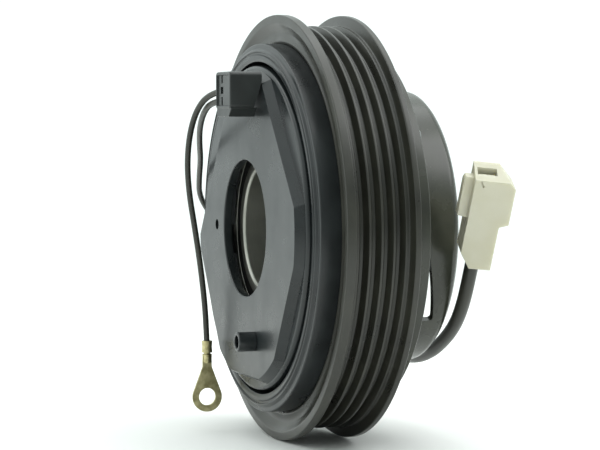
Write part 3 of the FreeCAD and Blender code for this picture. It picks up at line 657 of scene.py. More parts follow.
def piece(
    name: str,
    bm: bmesh.types.BMesh,
    finish: Finish,
    body: str,
    stands_for: Sequence[str],
    smooth_under: float = 33.0,
) -> bpy.types.Object:
    """Makes a finished piece of the object.

    Args:
        name: The piece's name.
        bm: Its mesh, in place, which is used up.
        finish: What it is made of.
        body: The CAD body that it rides on.
        stands_for: The CAD nodes that it replaces.
        smooth_under: Edges whose faces meet at less than this angle in degrees are shaded smooth.

    Returns:
        The object.
    """
    mesh = bpy.data.meshes.new(name)
    bm.to_mesh(mesh)
    bm.free()
    mesh.shade_smooth()
    mesh.set_sharp_from_angle(angle=math.radians(smooth_under))
    mesh.materials.append(finish.material())
    made = bpy.data.objects.new(name, mesh)
    bpy.context.scene.collection.objects.link(made)
    shading = made.modifiers.new("even shading", "WEIGHTED_NORMAL")
    shading.keep_sharp = True
    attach(made, body)
    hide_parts(*stands_for)
    log.info("%s: %d faces on %s", name, len(mesh.polygons), body)
    return made


def dress(node: str, finish: Finish) -> None:
    """Gives a CAD node that stays in view its material."""
    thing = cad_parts[node]
    for place in thing.material_slots:
        place.material = finish.material()
    if not thing.material_slots:
        thing.data.materials.append(finish.material())
    log.info("%s: CAD node in %s", node, finish.name)


# Sub-assemblies


@dataclass
class BeltPulley:
    """Ribbed belt ring, slotted rotor and friction facing, which turn with the belt."""

    grooves: int = 4
    groove_pitch: float = 3.56 * MM
    groove_depth: float = 2.4 * MM
    groove_flare: float = 0.364
    land_width: float = 0.7 * MM
    land_drop: float = 3.1 * MM
    shoulder: float = 1.23 * MM
    rear_flange: float = 3.0 * MM
    front_flange: float = 1.9 * MM
    rim_flat: float = 2.6 * MM
    rotor_wall: float = 5.3 * MM
    hub_radius: float = 31.1 * MM
    bearing_seat: float = 27.5 * MM
    web: float = 5.0 * MM
    web_bore: float = 25.2 * MM
    slot_width: float = 2.2 * MM
    slot_sweep: float = 46.0
    slot_count: int = 6
    slot_circles: tuple[float, float] = (34.0 * MM, 42.8 * MM)
    facing_inner: float = 37.4 * MM
    facing_width: float = 4.2 * MM
    facing_depth: float = 1.2 * MM
    # Profiles in millimetres: out, along and rounding of each corner.
    dish: tuple[Corner, ...] = ((0.0, 1.5, 0.2), (0.9, 1.1, 0.3), (2.3, 1.8, 0.9), (4.6, 1.3, 1.6))
    front_step: tuple[Corner, ...] = ((3.2, 0.0, 0.3), (2.2, 1.0, 0.2), (0.0, 1.0, 0.2))
    lip_ridges: tuple[Corner, ...] = (
        (0.0, 0.3, 0.3),
        (0.9, 0.0, 0.25),
        (1.9, 0.0, 0.2),
        (2.1, 0.5, 0.15),
        (2.7, 0.5, 0.15),
        (2.9, 0.0, 0.2),
    )
    lip_shoulder: tuple[Corner, ...] = ((-2.0, 0.1, 0.3), (-1.5, 0.9, 0.2), (0.0, 1.0, 0.35))

    def build(self) -> None:
        """Builds the belt ring and the rotor, and dresses the facing."""
        self.belt_ring()
        self.rotor()
        dress("friction_ring", FACING)

    def belt_ring(self) -> bpy.types.Object:
        """The belt track with its flanges, and the dished rear side."""
        ring = reach("belt_ring")
        seat = reach("rotor").radius
        start = ring.rear + self.rear_flange
        end = ring.front - self.front_flange
        land = ring.radius - self.land_drop
        bottom = land - self.groove_depth
        half_land = self.land_width / 2
        half_foot = half_land + self.groove_depth * self.groove_flare
        edge = 0.35 * MM
        outline: list[Corner] = [
            *placed(self.dish, seat, ring.rear),
            (ring.radius - self.rim_flat, ring.rear, 0.45 * MM),
            (ring.radius, ring.rear, edge),
            (ring.radius, start - 0.2 * MM, edge),
            (land, start + self.shoulder / 3, 0.3 * MM),
        ]
        for i in range(self.grooves + 1):
            centre = start + self.shoulder + self.groove_pitch * i
            if i > 0:
                outline.append((bottom, centre - half_foot, 0.25 * MM))
                outline.append((land, centre - half_land, 0.2 * MM))
            if i < self.grooves:
                outline.append((land, centre + half_land, 0.2 * MM))
                outline.append((bottom, centre + half_foot, 0.25 * MM))
        outline += [
            (land, end - self.shoulder / 3, 0.3 * MM),
            (ring.radius, end + 0.2 * MM, edge),
            (ring.radius, ring.front, edge),
            *placed(self.front_step, seat, ring.front, -1.0),
        ]
        return piece(
            "ribbed_belt_ring", turned(outline, steps=256), PAINTED_TURNED, "pulley",
            ["belt_ring"],
        )

    def rotor(self) -> bpy.types.Object:
        """The rotor, open to the rear, with two circles of magnet slots in its face."""
        whole = reach("rotor")
        wall = whole.radius - self.rotor_wall
        web_rear = whole.front - self.web
        bearing = reach("bearing_outer_ring")
        retainer = reach("bearing_retaining_ring")
        lip = whole.rear
        edge = 0.25 * MM
        outline: list[Corner] = [
            (self.bearing_seat, lip, edge),
            (self.hub_radius, lip, 0.5 * MM),
            (self.hub_radius, web_rear, 1.2 * MM),
            (wall, web_rear, 1.2 * MM),
            *placed(self.lip_ridges, wall, lip),
            *placed(self.lip_shoulder, whole.radius, lip),
            (whole.radius, whole.front, edge),
            (self.facing_inner + self.facing_width, whole.front, 0.15 * MM),
            (self.facing_inner + self.facing_width, whole.front - self.facing_depth, 0.0),
            (self.facing_inner, whole.front - self.facing_depth, 0.0),
            (self.facing_inner, whole.front, 0.15 * MM),
            (self.web_bore, whole.front, edge),
            (self.web_bore, bearing.front, edge),
            (self.bearing_seat, bearing.front, 0.0),
            (self.bearing_seat, bearing.rear, 0.0),
            (retainer.radius, bearing.rear, 0.0),
            (retainer.radius, retainer.rear, 0.0),
            (self.bearing_seat, retainer.rear, 0.0),
        ]
        cutters = []
        for circle in self.slot_circles:
            section: list[Corner] = [
                (circle, web_rear - CLEARANCE, 0.0),
                (circle + self.slot_width, web_rear - CLEARANCE, 0.0),
                (circle + self.slot_width, whole.front + CLEARANCE, 0.0),
                (circle, whole.front + CLEARANCE, 0.0),
            ]
            for i in range(self.slot_count):
                middle = 360.0 / self.slot_count * i
                cutters.append(turned(section, self.slot_sweep, middle, steps=24))
        slots = joined_into(bmesh.new(), *cutters)
        return piece(
            "slotted_rotor", worked(turned(outline), [slots]), ROTOR_IRON, "pulley",
            ["rotor"],
        )


@dataclass
class Bearing:
    """Double-row ball bearing between the compressor's nose and the rotor."""

    bore: float = 17.5 * MM
    inner_land: float = 21.0 * MM
    outer_land: float = 24.5 * MM
    bore_chamfer: float = 0.6 * MM
    retainer_width: float = 2.9 * MM
    retainer_gap: float = 20.0

    def build(self) -> None:
        """Builds the rings and the snap ring, and dresses what is inside."""
        inner = reach("bearing_inner_ring")
        outer = reach("bearing_outer_ring")
        edge = 0.35 * MM
        inner_outline: list[Corner] = [
            (self.bore, inner.rear + self.bore_chamfer, 0.25 * MM),
            (self.bore + self.bore_chamfer, inner.rear, 0.25 * MM),
            (self.inner_land, inner.rear, edge),
            (self.inner_land, inner.front, edge),
            (self.bore + self.bore_chamfer, inner.front, 0.25 * MM),
            (self.bore, inner.front - self.bore_chamfer, 0.25 * MM),
        ]
        outer_outline: list[Corner] = [
            (self.outer_land, outer.rear, edge),
            (outer.radius, outer.rear, edge),
            (outer.radius, outer.front, edge),
            (self.outer_land, outer.front, edge),
        ]
        piece(
            "ground_inner_ring", turned(inner_outline), BEARING_STEEL, "field_coil",
            ["bearing_inner_ring"],
        )
        piece(
            "ground_outer_ring", turned(outer_outline), BEARING_STEEL, "pulley",
            ["bearing_outer_ring"],
        )
        self.snap_ring()
        dress("bearing_seals", NITRILE)
        dress("bearing_balls", BEARING_STEEL)
        dress("bearing_cages", CAGE_POLYAMIDE)

    def snap_ring(self) -> bpy.types.Object:
        """The open snap ring, its edges rounded."""
        whole = reach("bearing_retaining_ring")
        inner = whole.radius - self.retainer_width
        edge = 0.2 * MM
        section: list[Corner] = [
            (inner, whole.rear, edge),
            (whole.radius, whole.rear, edge),
            (whole.radius, whole.front, edge),
            (inner, whole.front, edge),
        ]
        sweep = 360.0 - self.retainer_gap
        ring = turned(section, sweep, sweep / 2, steps=160)
        return piece(
            "open_snap_ring", ring, SPRING_STEEL, "pulley", ["bearing_retaining_ring"]
        )


@dataclass
class FieldCoil:
    """Fixed coil: stamped plate, steel shell, locating pin and the moulded lead block."""

    plate_bore: float = 20.0 * MM
    plate_slope: float = 1.5 * MM
    flats: tuple[tuple[float, float], ...] = (
        (140.6, 5.8 * MM),
        (212.0, 2.9 * MM),
        (270.0, 2.0 * MM),
        (24.5, 4.7 * MM),
        (326.0, 3.6 * MM),
    )
    fold: tuple[float, float, float] = (35.0, 10.5 * MM, 68.0)
    pin_place: tuple[float, float] = (-9.3 * MM, -32.5 * MM)
    pin_shank: float = 2.4 * MM
    pin_bore: float = 1.85 * MM
    vent_across: float = 27.0 * MM
    vent_radius: float = 1.6 * MM
    shell_bore: float = 32.2 * MM
    shell_wall: float = 2.4 * MM
    block_rim: float = 0.9 * MM
    block_recess: float = 0.5 * MM
    mark_depth: float = 0.45 * MM
    foot_drop: float = 2.2 * MM
    corner_cut: float = 2.4 * MM
    corner_lean: float = 0.3
    # Roundings of the plate's mounting side and bore.
    plate_rounding: float = 1.6 * MM
    bore_rounding: float = 0.45 * MM
    # Roundings of the block's slanting corners, of its back face and of its foot.
    corner_rounding: float = 1.3 * MM
    back_rounding: float = 0.5 * MM
    foot_rounding: float = 0.4 * MM
    # The part of the block's depth whose corners are rounded: past its front, and short of its back.
    rounded_from: float = 3.0 * MM
    rounded_short_of: float = 0.5 * MM
    recess_slope: float = 0.15 * MM
    foot_inset: float = 0.3 * MM
    foot_front: float = 1.4 * MM
    foot_overlap: float = 0.4 * MM
    marks_offset: float = 2.2 * MM
    # Height above the block's bottom, half width and half height of each mark, in millimetres.
    marks: tuple[tuple[float, float, float], ...] = (
        (8.6, 0.6, 1.2),
        (5.4, 1.3, 1.0),
        (2.3, 0.6, 1.2),
    )
    hole_reach: float = 10 * MM

    def build(self) -> None:
        """Builds the outer pieces and dresses the winding's parts."""
        self.plate()
        self.shell()
        self.pin()
        self.lead_block()
        dress("coil_bobbin", BOBBIN)
        dress("coil_winding", COPPER)
        dress("coil_potting", EPOXY)

    def plate(self) -> bpy.types.Object:
        """The stamped plate: a shallow frustum with flats, one folded side and rounded edges."""
        whole = reach("coil_plate")
        thickness = whole.front
        bm = bmesh.new()
        rearwards = Matrix.Rotation(-math.pi / 2, 4, "X")
        bmesh.ops.create_cone(
            bm,
            cap_ends=True,
            segments=240,
            radius1=whole.radius,
            radius2=whole.radius - self.plate_slope,
            depth=thickness,
            matrix=Matrix.Translation((0.0, -thickness / 2, 0.0)) @ rearwards,
        )
        lean = math.degrees(math.atan2(self.plate_slope, thickness))
        for angle, inset, slope in [(*flat, lean) for flat in self.flats] + [self.fold]:
            self._slice(bm, angle, whole.radius - self.plate_slope - inset, slope)
        softened(bm, self.plate_rounding, self._on_mounting_face, over=12.0, segments=6)
        tools = [
            rod(self.plate_bore, *self._across(0.0, 0.0), RING_STEPS),
            rod(self.pin_shank, *self._across(*self.pin_place)),
            rod(self.vent_radius, *self._across(self.vent_across, 0.0)),
        ]
        bm = worked(bm, tools)
        softened(bm, self.bore_rounding, self._near_bore, over=50.0, segments=3)
        return piece(
            "stamped_coil_plate", bm, E_COAT, "field_coil", ["coil_plate"], 25.0
        )

    @staticmethod
    def _slice(bm: bmesh.types.BMesh, angle: float, distance: float, lean: float) -> None:
        """Cuts one flat side.

        Args:
            bm: The plate's mesh.
            angle: Where the flat faces, in degrees.
            distance: How far the flat is from the shaft on the mounting face.
            lean: How far the flat leans outwards as it goes forward, in degrees.
        """
        tilt = math.radians(lean)
        outwards = polar(1.0, angle, 0.0)
        sliced(bm, outwards * distance, outwards * math.cos(tilt) - SHAFT * math.sin(tilt))

    def _across(self, across: float, up: float) -> tuple[Vector, Vector]:
        """Two points on a line along the shaft's direction, for a hole through the plate."""
        return Vector((across, self.hole_reach, up)), Vector((across, -self.hole_reach, up))

    @staticmethod
    def _on_mounting_face(point: Vector) -> bool:
        """Whether a point is on the plate's mounting face."""
        return point.y > -0.05 * MM

    def _near_bore(self, point: Vector) -> bool:
        """Whether a point is on the bore's rim."""
        return abs(math.hypot(point.x, point.z) - self.plate_bore) < 0.1 * MM

    def shell(self) -> bpy.types.Object:
        """The steel channel that holds the winding."""
        whole = reach("coil_shell")
        channel_rear = whole.rear + self.shell_wall
        outline: list[Corner] = [
            (self.shell_bore, whole.rear, 0.3 * MM),
            (whole.radius, whole.rear, 1.2 * MM),
            (whole.radius, whole.front, 0.3 * MM),
            (whole.radius - self.shell_wall, whole.front, 0.3 * MM),
            (whole.radius - self.shell_wall, channel_rear, 0.0),
            (self.shell_bore + self.shell_wall, channel_rear, 0.0),
            (self.shell_bore + self.shell_wall, whole.front, 0.3 * MM),
            (self.shell_bore, whole.front, 0.3 * MM),
        ]
        return piece(
            "pressed_coil_shell", turned(outline), E_COAT, "field_coil", ["coil_shell"]
        )

    def pin(self) -> bpy.types.Object:
        """The hollow locating pin."""
        low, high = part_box("locating_pin")
        radius = (high.x - low.x) / 2
        edge = 0.35 * MM
        outline: list[Corner] = [
            (self.pin_bore, -high.y, 0.25 * MM),
            (radius, -high.y, edge),
            (radius, 0.0, 0.2 * MM),
            (self.pin_shank, 0.0, 0.0),
            (self.pin_shank, -low.y, 0.0),
            (self.pin_bore, -low.y, 0.0),
        ]
        across, up = self.pin_place
        bm = moved(turned(outline, steps=64), Matrix.Translation((across, 0.0, up)))
        return piece("hollow_pin", bm, E_COAT, "field_coil", ["locating_pin"])

    def lead_block(self) -> bpy.types.Object:
        """The moulded block: raised rim round its back face, three marks, and a bevelled foot."""
        low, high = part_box("lead_block")
        bottom = low.z + self.foot_drop
        bm = block(Vector((low.x, 0.0, bottom)), high)
        sliced(bm, Vector((0.0, self.corner_cut, bottom)), Vector((0.0, -1.0, -self.corner_lean)))
        back_limit = high.y - self.rounded_short_of
        softened(
            bm, self.corner_rounding, lambda point: self.rounded_from < point.y < back_limit, segments=5
        )
        softened(bm, self.back_rounding, lambda point: point.y > high.y - 0.05 * MM, segments=3)
        back = max(bm.faces, key=lambda face: face.calc_area() * face.normal.y)
        bmesh.ops.inset_region(bm, faces=[back], thickness=self.block_rim - self.back_rounding, depth=0.0)
        bmesh.ops.inset_region(bm, faces=[back], thickness=self.recess_slope, depth=-self.block_recess)
        inset = self.foot_inset
        foot = block(
            Vector((low.x + inset, self.foot_front, low.z)),
            Vector((high.x - inset, high.y - inset, bottom + self.foot_overlap)),
        )
        sliced(foot, Vector((low.x + inset, 0.0, bottom)), Vector((-1.0, 0.0, -1.0)))
        softened(foot, self.foot_rounding, lambda point: point.z < bottom - 0.5 * MM, segments=3)
        middle = (low.x + high.x) / 2 + self.marks_offset
        floor = high.y - self.block_recess
        marks = []
        for rise, half_width, half_height in self.marks:
            centre = bottom + rise * MM
            marks.append(
                block(
                    Vector((middle - half_width * MM, floor - self.mark_depth, centre - half_height * MM)),
                    Vector((middle + half_width * MM, floor + CLEARANCE, centre + half_height * MM)),
                )
            )
        bm = worked(bm, [foot], "UNION")
        bm = worked(bm, marks)
        return piece(
            "moulded_lead_block", bm, BLOCK_POLYAMIDE, "field_coil", ["lead_block"]
        )


@dataclass
class Leads:
    """The coil's two leads, the sleeve over the power lead, the eye terminal and the connector."""

    ground_route: tuple[tuple[float, float, float], ...] = (
        (-0.0026, 0.007, 0.0402),
        (0.0042, 0.0092, 0.0394),
        (0.0106, 0.0112, 0.035),
        (0.016, 0.0119, 0.0276),
        (0.02, 0.0115, 0.0186),
        (0.0226, 0.0101, 0.0094),
        (0.0244, 0.008, 0.0),
        (0.0254, 0.0062, -0.0096),
        (0.0259, 0.0048, -0.0194),
        (0.026, 0.0039, -0.029),
        (0.026, 0.0036, -0.038),
    )
    power_route: tuple[tuple[float, float, float], ...] = (
        (-0.0026, 0.007, 0.0374),
        (0.0046, 0.0086, 0.0368),
        (0.013, 0.0083, 0.0342),
        (0.023, 0.0066, 0.0298),
        (0.0335, 0.0036, 0.0248),
        (0.0435, 0.0002, 0.0196),
        (0.0526, -0.002, 0.0136),
        (0.0606, -0.0044, 0.0076),
        (0.0664, -0.01, 0.0012),
        (0.0686, -0.018, -0.005),
        (0.0684, -0.026, -0.0108),
    )
    sleeve_route: tuple[tuple[float, float, float], ...] = (
        (0.0684, -0.026, -0.0108),
        (0.0674, -0.036, -0.0178),
        (0.0616, -0.0456, -0.025),
        (0.052, -0.0524, -0.032),
        (0.04, -0.0562, -0.0376),
        (0.026, -0.0576, -0.0408),
        (0.0105, -0.0572, -0.0412),
        (-0.0055, -0.0562, -0.0384),
        (-0.019, -0.0554, -0.0334),
        (-0.0306, -0.0543, -0.0274),
        (-0.039, -0.053, -0.0208),
        (-0.0449, -0.0521, -0.0136),
        (-0.0484, -0.0522, -0.0059),
    )
    lead_diameter: float = 1.8 * MM
    sleeve_diameter: float = 4.0 * MM
    ground_length: float = 91.8 * MM
    power_length: float = 102.6 * MM
    sleeve_length: float = 154.7 * MM
    eye_radius: float = 4.6 * MM
    eye_hole: float = 2.65 * MM
    eye_thickness: float = 0.8 * MM
    eye_drop: float = 14.5 * MM
    taper_height: float = 8.9 * MM
    neck_radius: float = 1.4 * MM
    socket_depth: float = 3.0 * MM
    eye_rounding: float = 0.15 * MM
    # The neck overlaps the crimp's barrels by this much.
    neck_overlap: float = 1.4 * MM
    # The solid core inside the crimp: its radius, and how far below the lead's end it runs.
    core_radius: float = 0.95 * MM
    core_low: float = 4.2 * MM
    core_high: float = 0.8 * MM
    # Lower end, upper end and radius of each crimped barrel in millimetres, from the lead's end.
    barrels: tuple[tuple[float, float, float], ...] = ((-3.9, -1.5, 1.35), (-1.0, 2.6, 1.6))
    barrel_wall: float = 0.45 * MM
    barrel_waist: float = 0.14 * MM
    barrel_end: float = 0.6 * MM
    seam_half_width: float = 0.14 * MM
    seam_floor: float = 0.15 * MM
    # The way that the housing's depth runs, before it is squared to the sleeve.
    connector_deep: Vector = Vector((0.87, -0.22, 0.44))
    housing_half_depth: float = 3.7 * MM
    # Outlines of across and along in millimetres, counted from the middle of the housing's tail.
    housing_outline: tuple[tuple[float, float], ...] = (
        (-1.6, 0.0),
        (4.6, 0.0),
        (4.6, 13.4),
        (7.2, 14.4),
        (7.2, 25.4),
        (2.7, 30.0),
        (-4.5, 30.0),
        (-4.5, 13.4),
        (-4.6, 13.4),
        (-4.6, 4.5),
    )
    rail_outline: tuple[tuple[float, float], ...] = (
        (-7.3, 15.0),
        (-4.0, 14.4),
        (-4.0, 27.0),
        (-6.8, 27.0),
        (-7.3, 26.0),
    )
    rail_half_depth: float = 1.5 * MM
    # The slope of the head's far end: where it starts, then its normal, which goes towards -Y by the
    # run and up by the rise, counted in half depths.
    slope_start: float = 27.2 * MM
    slope_run: float = 2.8 * MM
    slope_rise: float = 2.2
    housing_rounding: float = 0.7 * MM
    rail_rounding: float = 0.4 * MM
    # The mouth runs from its floor out through the housing's far end.
    mouth_left: float = -3.7 * MM
    mouth_right: float = 1.9 * MM
    mouth_half_gap: float = 1.4 * MM
    mouth_floor: float = 18.0 * MM
    mouth_end: float = 31.0 * MM
    slit_half_width: float = 0.25 * MM
    slit_half_length: float = 1.0 * MM
    slit_depth: float = 0.6 * MM
    slit_place: tuple[float, float] = (-2.4 * MM, 26.0 * MM)
    slit_turn: float = -30.0
    blade_left: float = -3.3 * MM
    blade_right: float = 1.5 * MM
    blade_half_thickness: float = 0.4 * MM
    blade_top: float = 27.6 * MM
    blade_rounding: float = 0.25 * MM

    def build(self) -> None:
        """Builds the ends first, then the cords that they stand on."""
        eye = self.eye_terminal()
        housing = self.housing()
        blade = self.blade()
        ground = self.cord("ground_wire", self.ground_route, self.lead_diameter, PVC, "ground_lead")
        power = self.cord("power_wire", self.power_route, self.lead_diameter, PVC, "power_lead")
        sleeve = self.cord("wire_sleeve", self.sleeve_route, self.sleeve_diameter, SLEEVE, "lead_sleeve")

    @staticmethod
    def cord(
        name: str,
        route: Sequence[tuple[float, float, float]],
        diameter: float,
        finish: Finish,
        node: str,
    ) -> bpy.types.Object:
        """A round cord along a smooth line.

        Args:
            name: The piece's name.
            route: The line's control points.
            diameter: The cord's thickness.
            finish: Its cover.
            node: The CAD node that it replaces.

        Returns:
            The curve object.
        """
        curve = bpy.data.curves.new(name, "CURVE")
        curve.dimensions = "3D"
        spline = curve.splines.new("NURBS")
        spline.points.add(len(route) - 1)
        for point, place in zip(spline.points, route):
            point.co = (*place, 1.0)
        spline.order_u = 3
        spline.use_endpoint_u = True
        spline.resolution_u = 16
        curve.bevel_depth = diameter / 2
        curve.bevel_resolution = 8
        curve.use_fill_caps = True
        curve.materials.append(finish.material())
        made = bpy.data.objects.new(name, curve)
        bpy.context.scene.collection.objects.link(made)
        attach(made, "field_coil")
        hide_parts(node)
        log.info("%s: cord of %d points", name, len(route))
        return made

    def eye_terminal(self) -> bpy.types.Object:
        """The crimped eye on the ground lead, flat across X."""
        end = Vector(self.ground_route[-1])
        centre = end - Vector((0.0, 0.0, self.eye_drop))
        half = Vector((self.eye_thickness / 2, 0.0, 0.0))
        taper = centre + Vector((0.0, 0.0, self.taper_height))
        flat = strip(self.eye_radius, self.neck_radius, centre - half, taper - half, half * 2)
        neck_width = Vector((0.0, self.neck_radius, 0.0))
        top = end - Vector((0.0, 0.0, self.neck_overlap))
        neck = block(taper - half - neck_width, top + half + neck_width)
        flat = worked(flat, [neck], "UNION")
        hole = rod(self.eye_hole, centre - half * 4, centre + half * 4, 64)
        flat = softened(worked(flat, [hole]), self.eye_rounding, over=40.0)
        down = Vector((0.0, 0.0, -1.0))
        barrels = rod(self.core_radius, end + down * self.core_low, end + down * self.core_high, 32)
        for low, high, radius in self.barrels:
            barrels = joined_into(barrels, self._barrel(end, low * MM, high * MM, radius * MM))
        return piece(
            "crimped_eye", joined_into(flat, barrels), TINNED_BRASS, "field_coil",
            ["ring_terminal"],
        )

    def _barrel(self, end: Vector, low: float, high: float, radius: float) -> bmesh.types.BMesh:
        """One crimped barrel about the lead, waisted in its middle.

        Args:
            end: Where the lead ends.
            low: The barrel's lower end, from there.
            high: Its upper end.
            radius: Its outer radius.

        Returns:
            A closed mesh with its axis along Z.
        """
        inner = radius - self.barrel_wall
        waist = radius - self.barrel_waist
        middle = (low + high) / 2
        outline: list[Corner] = [
            (inner, low, 0.0),
            (radius, low, 0.15 * MM),
            (radius, low + self.barrel_end, 0.3 * MM),
            (waist, middle, 0.6 * MM),
            (radius, high - self.barrel_end, 0.3 * MM),
            (radius, high, 0.15 * MM),
            (inner, high, 0.0),
        ]
        upright = Matrix.Rotation(-math.pi / 2, 4, "X")
        place = Matrix.Translation(end) @ upright
        seam = block(
            end + Vector((-self.seam_half_width, -radius - CLEARANCE, low - CLEARANCE)),
            end + Vector((self.seam_half_width, -inner - self.seam_floor, high + CLEARANCE)),
        )
        return worked(moved(turned(outline, steps=48), place), [seam])

    def _connector_place(self) -> Matrix:
        """Where the connector stands: X across, Y deep and Z along it, from its tail."""
        end = Vector(self.sleeve_route[-1])
        along = (end - Vector(self.sleeve_route[-2])).normalized()
        deep = (self.connector_deep - along * self.connector_deep.dot(along)).normalized()
        across = deep.cross(along)
        turn = Matrix((across, deep, along)).transposed().to_4x4()
        return Matrix.Translation(end - along * self.socket_depth) @ turn

    def housing(self) -> bpy.types.Object:
        """The one-way housing: narrow tail, wide head with a rail, mouth at the far end."""
        half_depth = self.housing_half_depth
        bm = self._slab(self.housing_outline, half_depth)
        slope = Vector((0.0, -self.slope_run, self.slope_rise * half_depth))
        sliced(bm, Vector((0.0, -half_depth, self.slope_start)), slope)
        softened(bm, self.housing_rounding, over=20.0, segments=3)
        rail = self._slab(self.rail_outline, self.rail_half_depth)
        softened(rail, self.rail_rounding, over=20.0)
        bm = worked(bm, [rail], "UNION")
        mouth = block(
            Vector((self.mouth_left, -self.mouth_half_gap, self.mouth_floor)),
            Vector((self.mouth_right, self.mouth_half_gap, self.mouth_end)),
        )
        tail = Vector((0.0, 0.0, -CLEARANCE))
        socket = rod(self.sleeve_diameter / 2, tail, Vector((0.0, 0.0, self.socket_depth)))
        across, along = self.slit_place
        turn = Matrix.Rotation(math.radians(self.slit_turn), 4, "Y")
        slit = moved(
            block(
                Vector((-self.slit_half_width, -half_depth - CLEARANCE, -self.slit_half_length)),
                Vector((self.slit_half_width, -half_depth + self.slit_depth, self.slit_half_length)),
            ),
            Matrix.Translation((across, 0.0, along)) @ turn,
        )
        bm = worked(bm, [mouth, socket, slit])
        return piece(
            "natural_connector_housing", moved(bm, self._connector_place()), NATURAL_NYLON, "field_coil",
            ["connector_housing"],
        )

    @staticmethod
    def _slab(outline: Sequence[tuple[float, float]], half_depth: float) -> bmesh.types.BMesh:
        """A flat slab from an outline of across and along in millimetres, in the connector's frame."""
        bm = bmesh.new()
        face = bm.faces.new([bm.verts.new((x * MM, -half_depth, z * MM)) for x, z in outline])
        drawn = bmesh.ops.extrude_face_region(bm, geom=[face])
        risen = [item for item in drawn["geom"] if isinstance(item, bmesh.types.BMVert)]
        bmesh.ops.translate(bm, verts=risen, vec=(0.0, 2 * half_depth, 0.0))
        return tidied(bm)

    def blade(self) -> bpy.types.Object:
        """The blade inside the connector's mouth, its tip bevelled."""
        half = self.blade_half_thickness
        bm = block(
            Vector((self.blade_left, -half, self.mouth_floor)),
            Vector((self.blade_right, half, self.blade_top)),
        )
        softened(bm, self.blade_rounding)
        return piece(
            "connector_blade", moved(bm, self._connector_place()), BRIGHT_BRASS, "field_coil",
            ["connector_terminal"],
        )


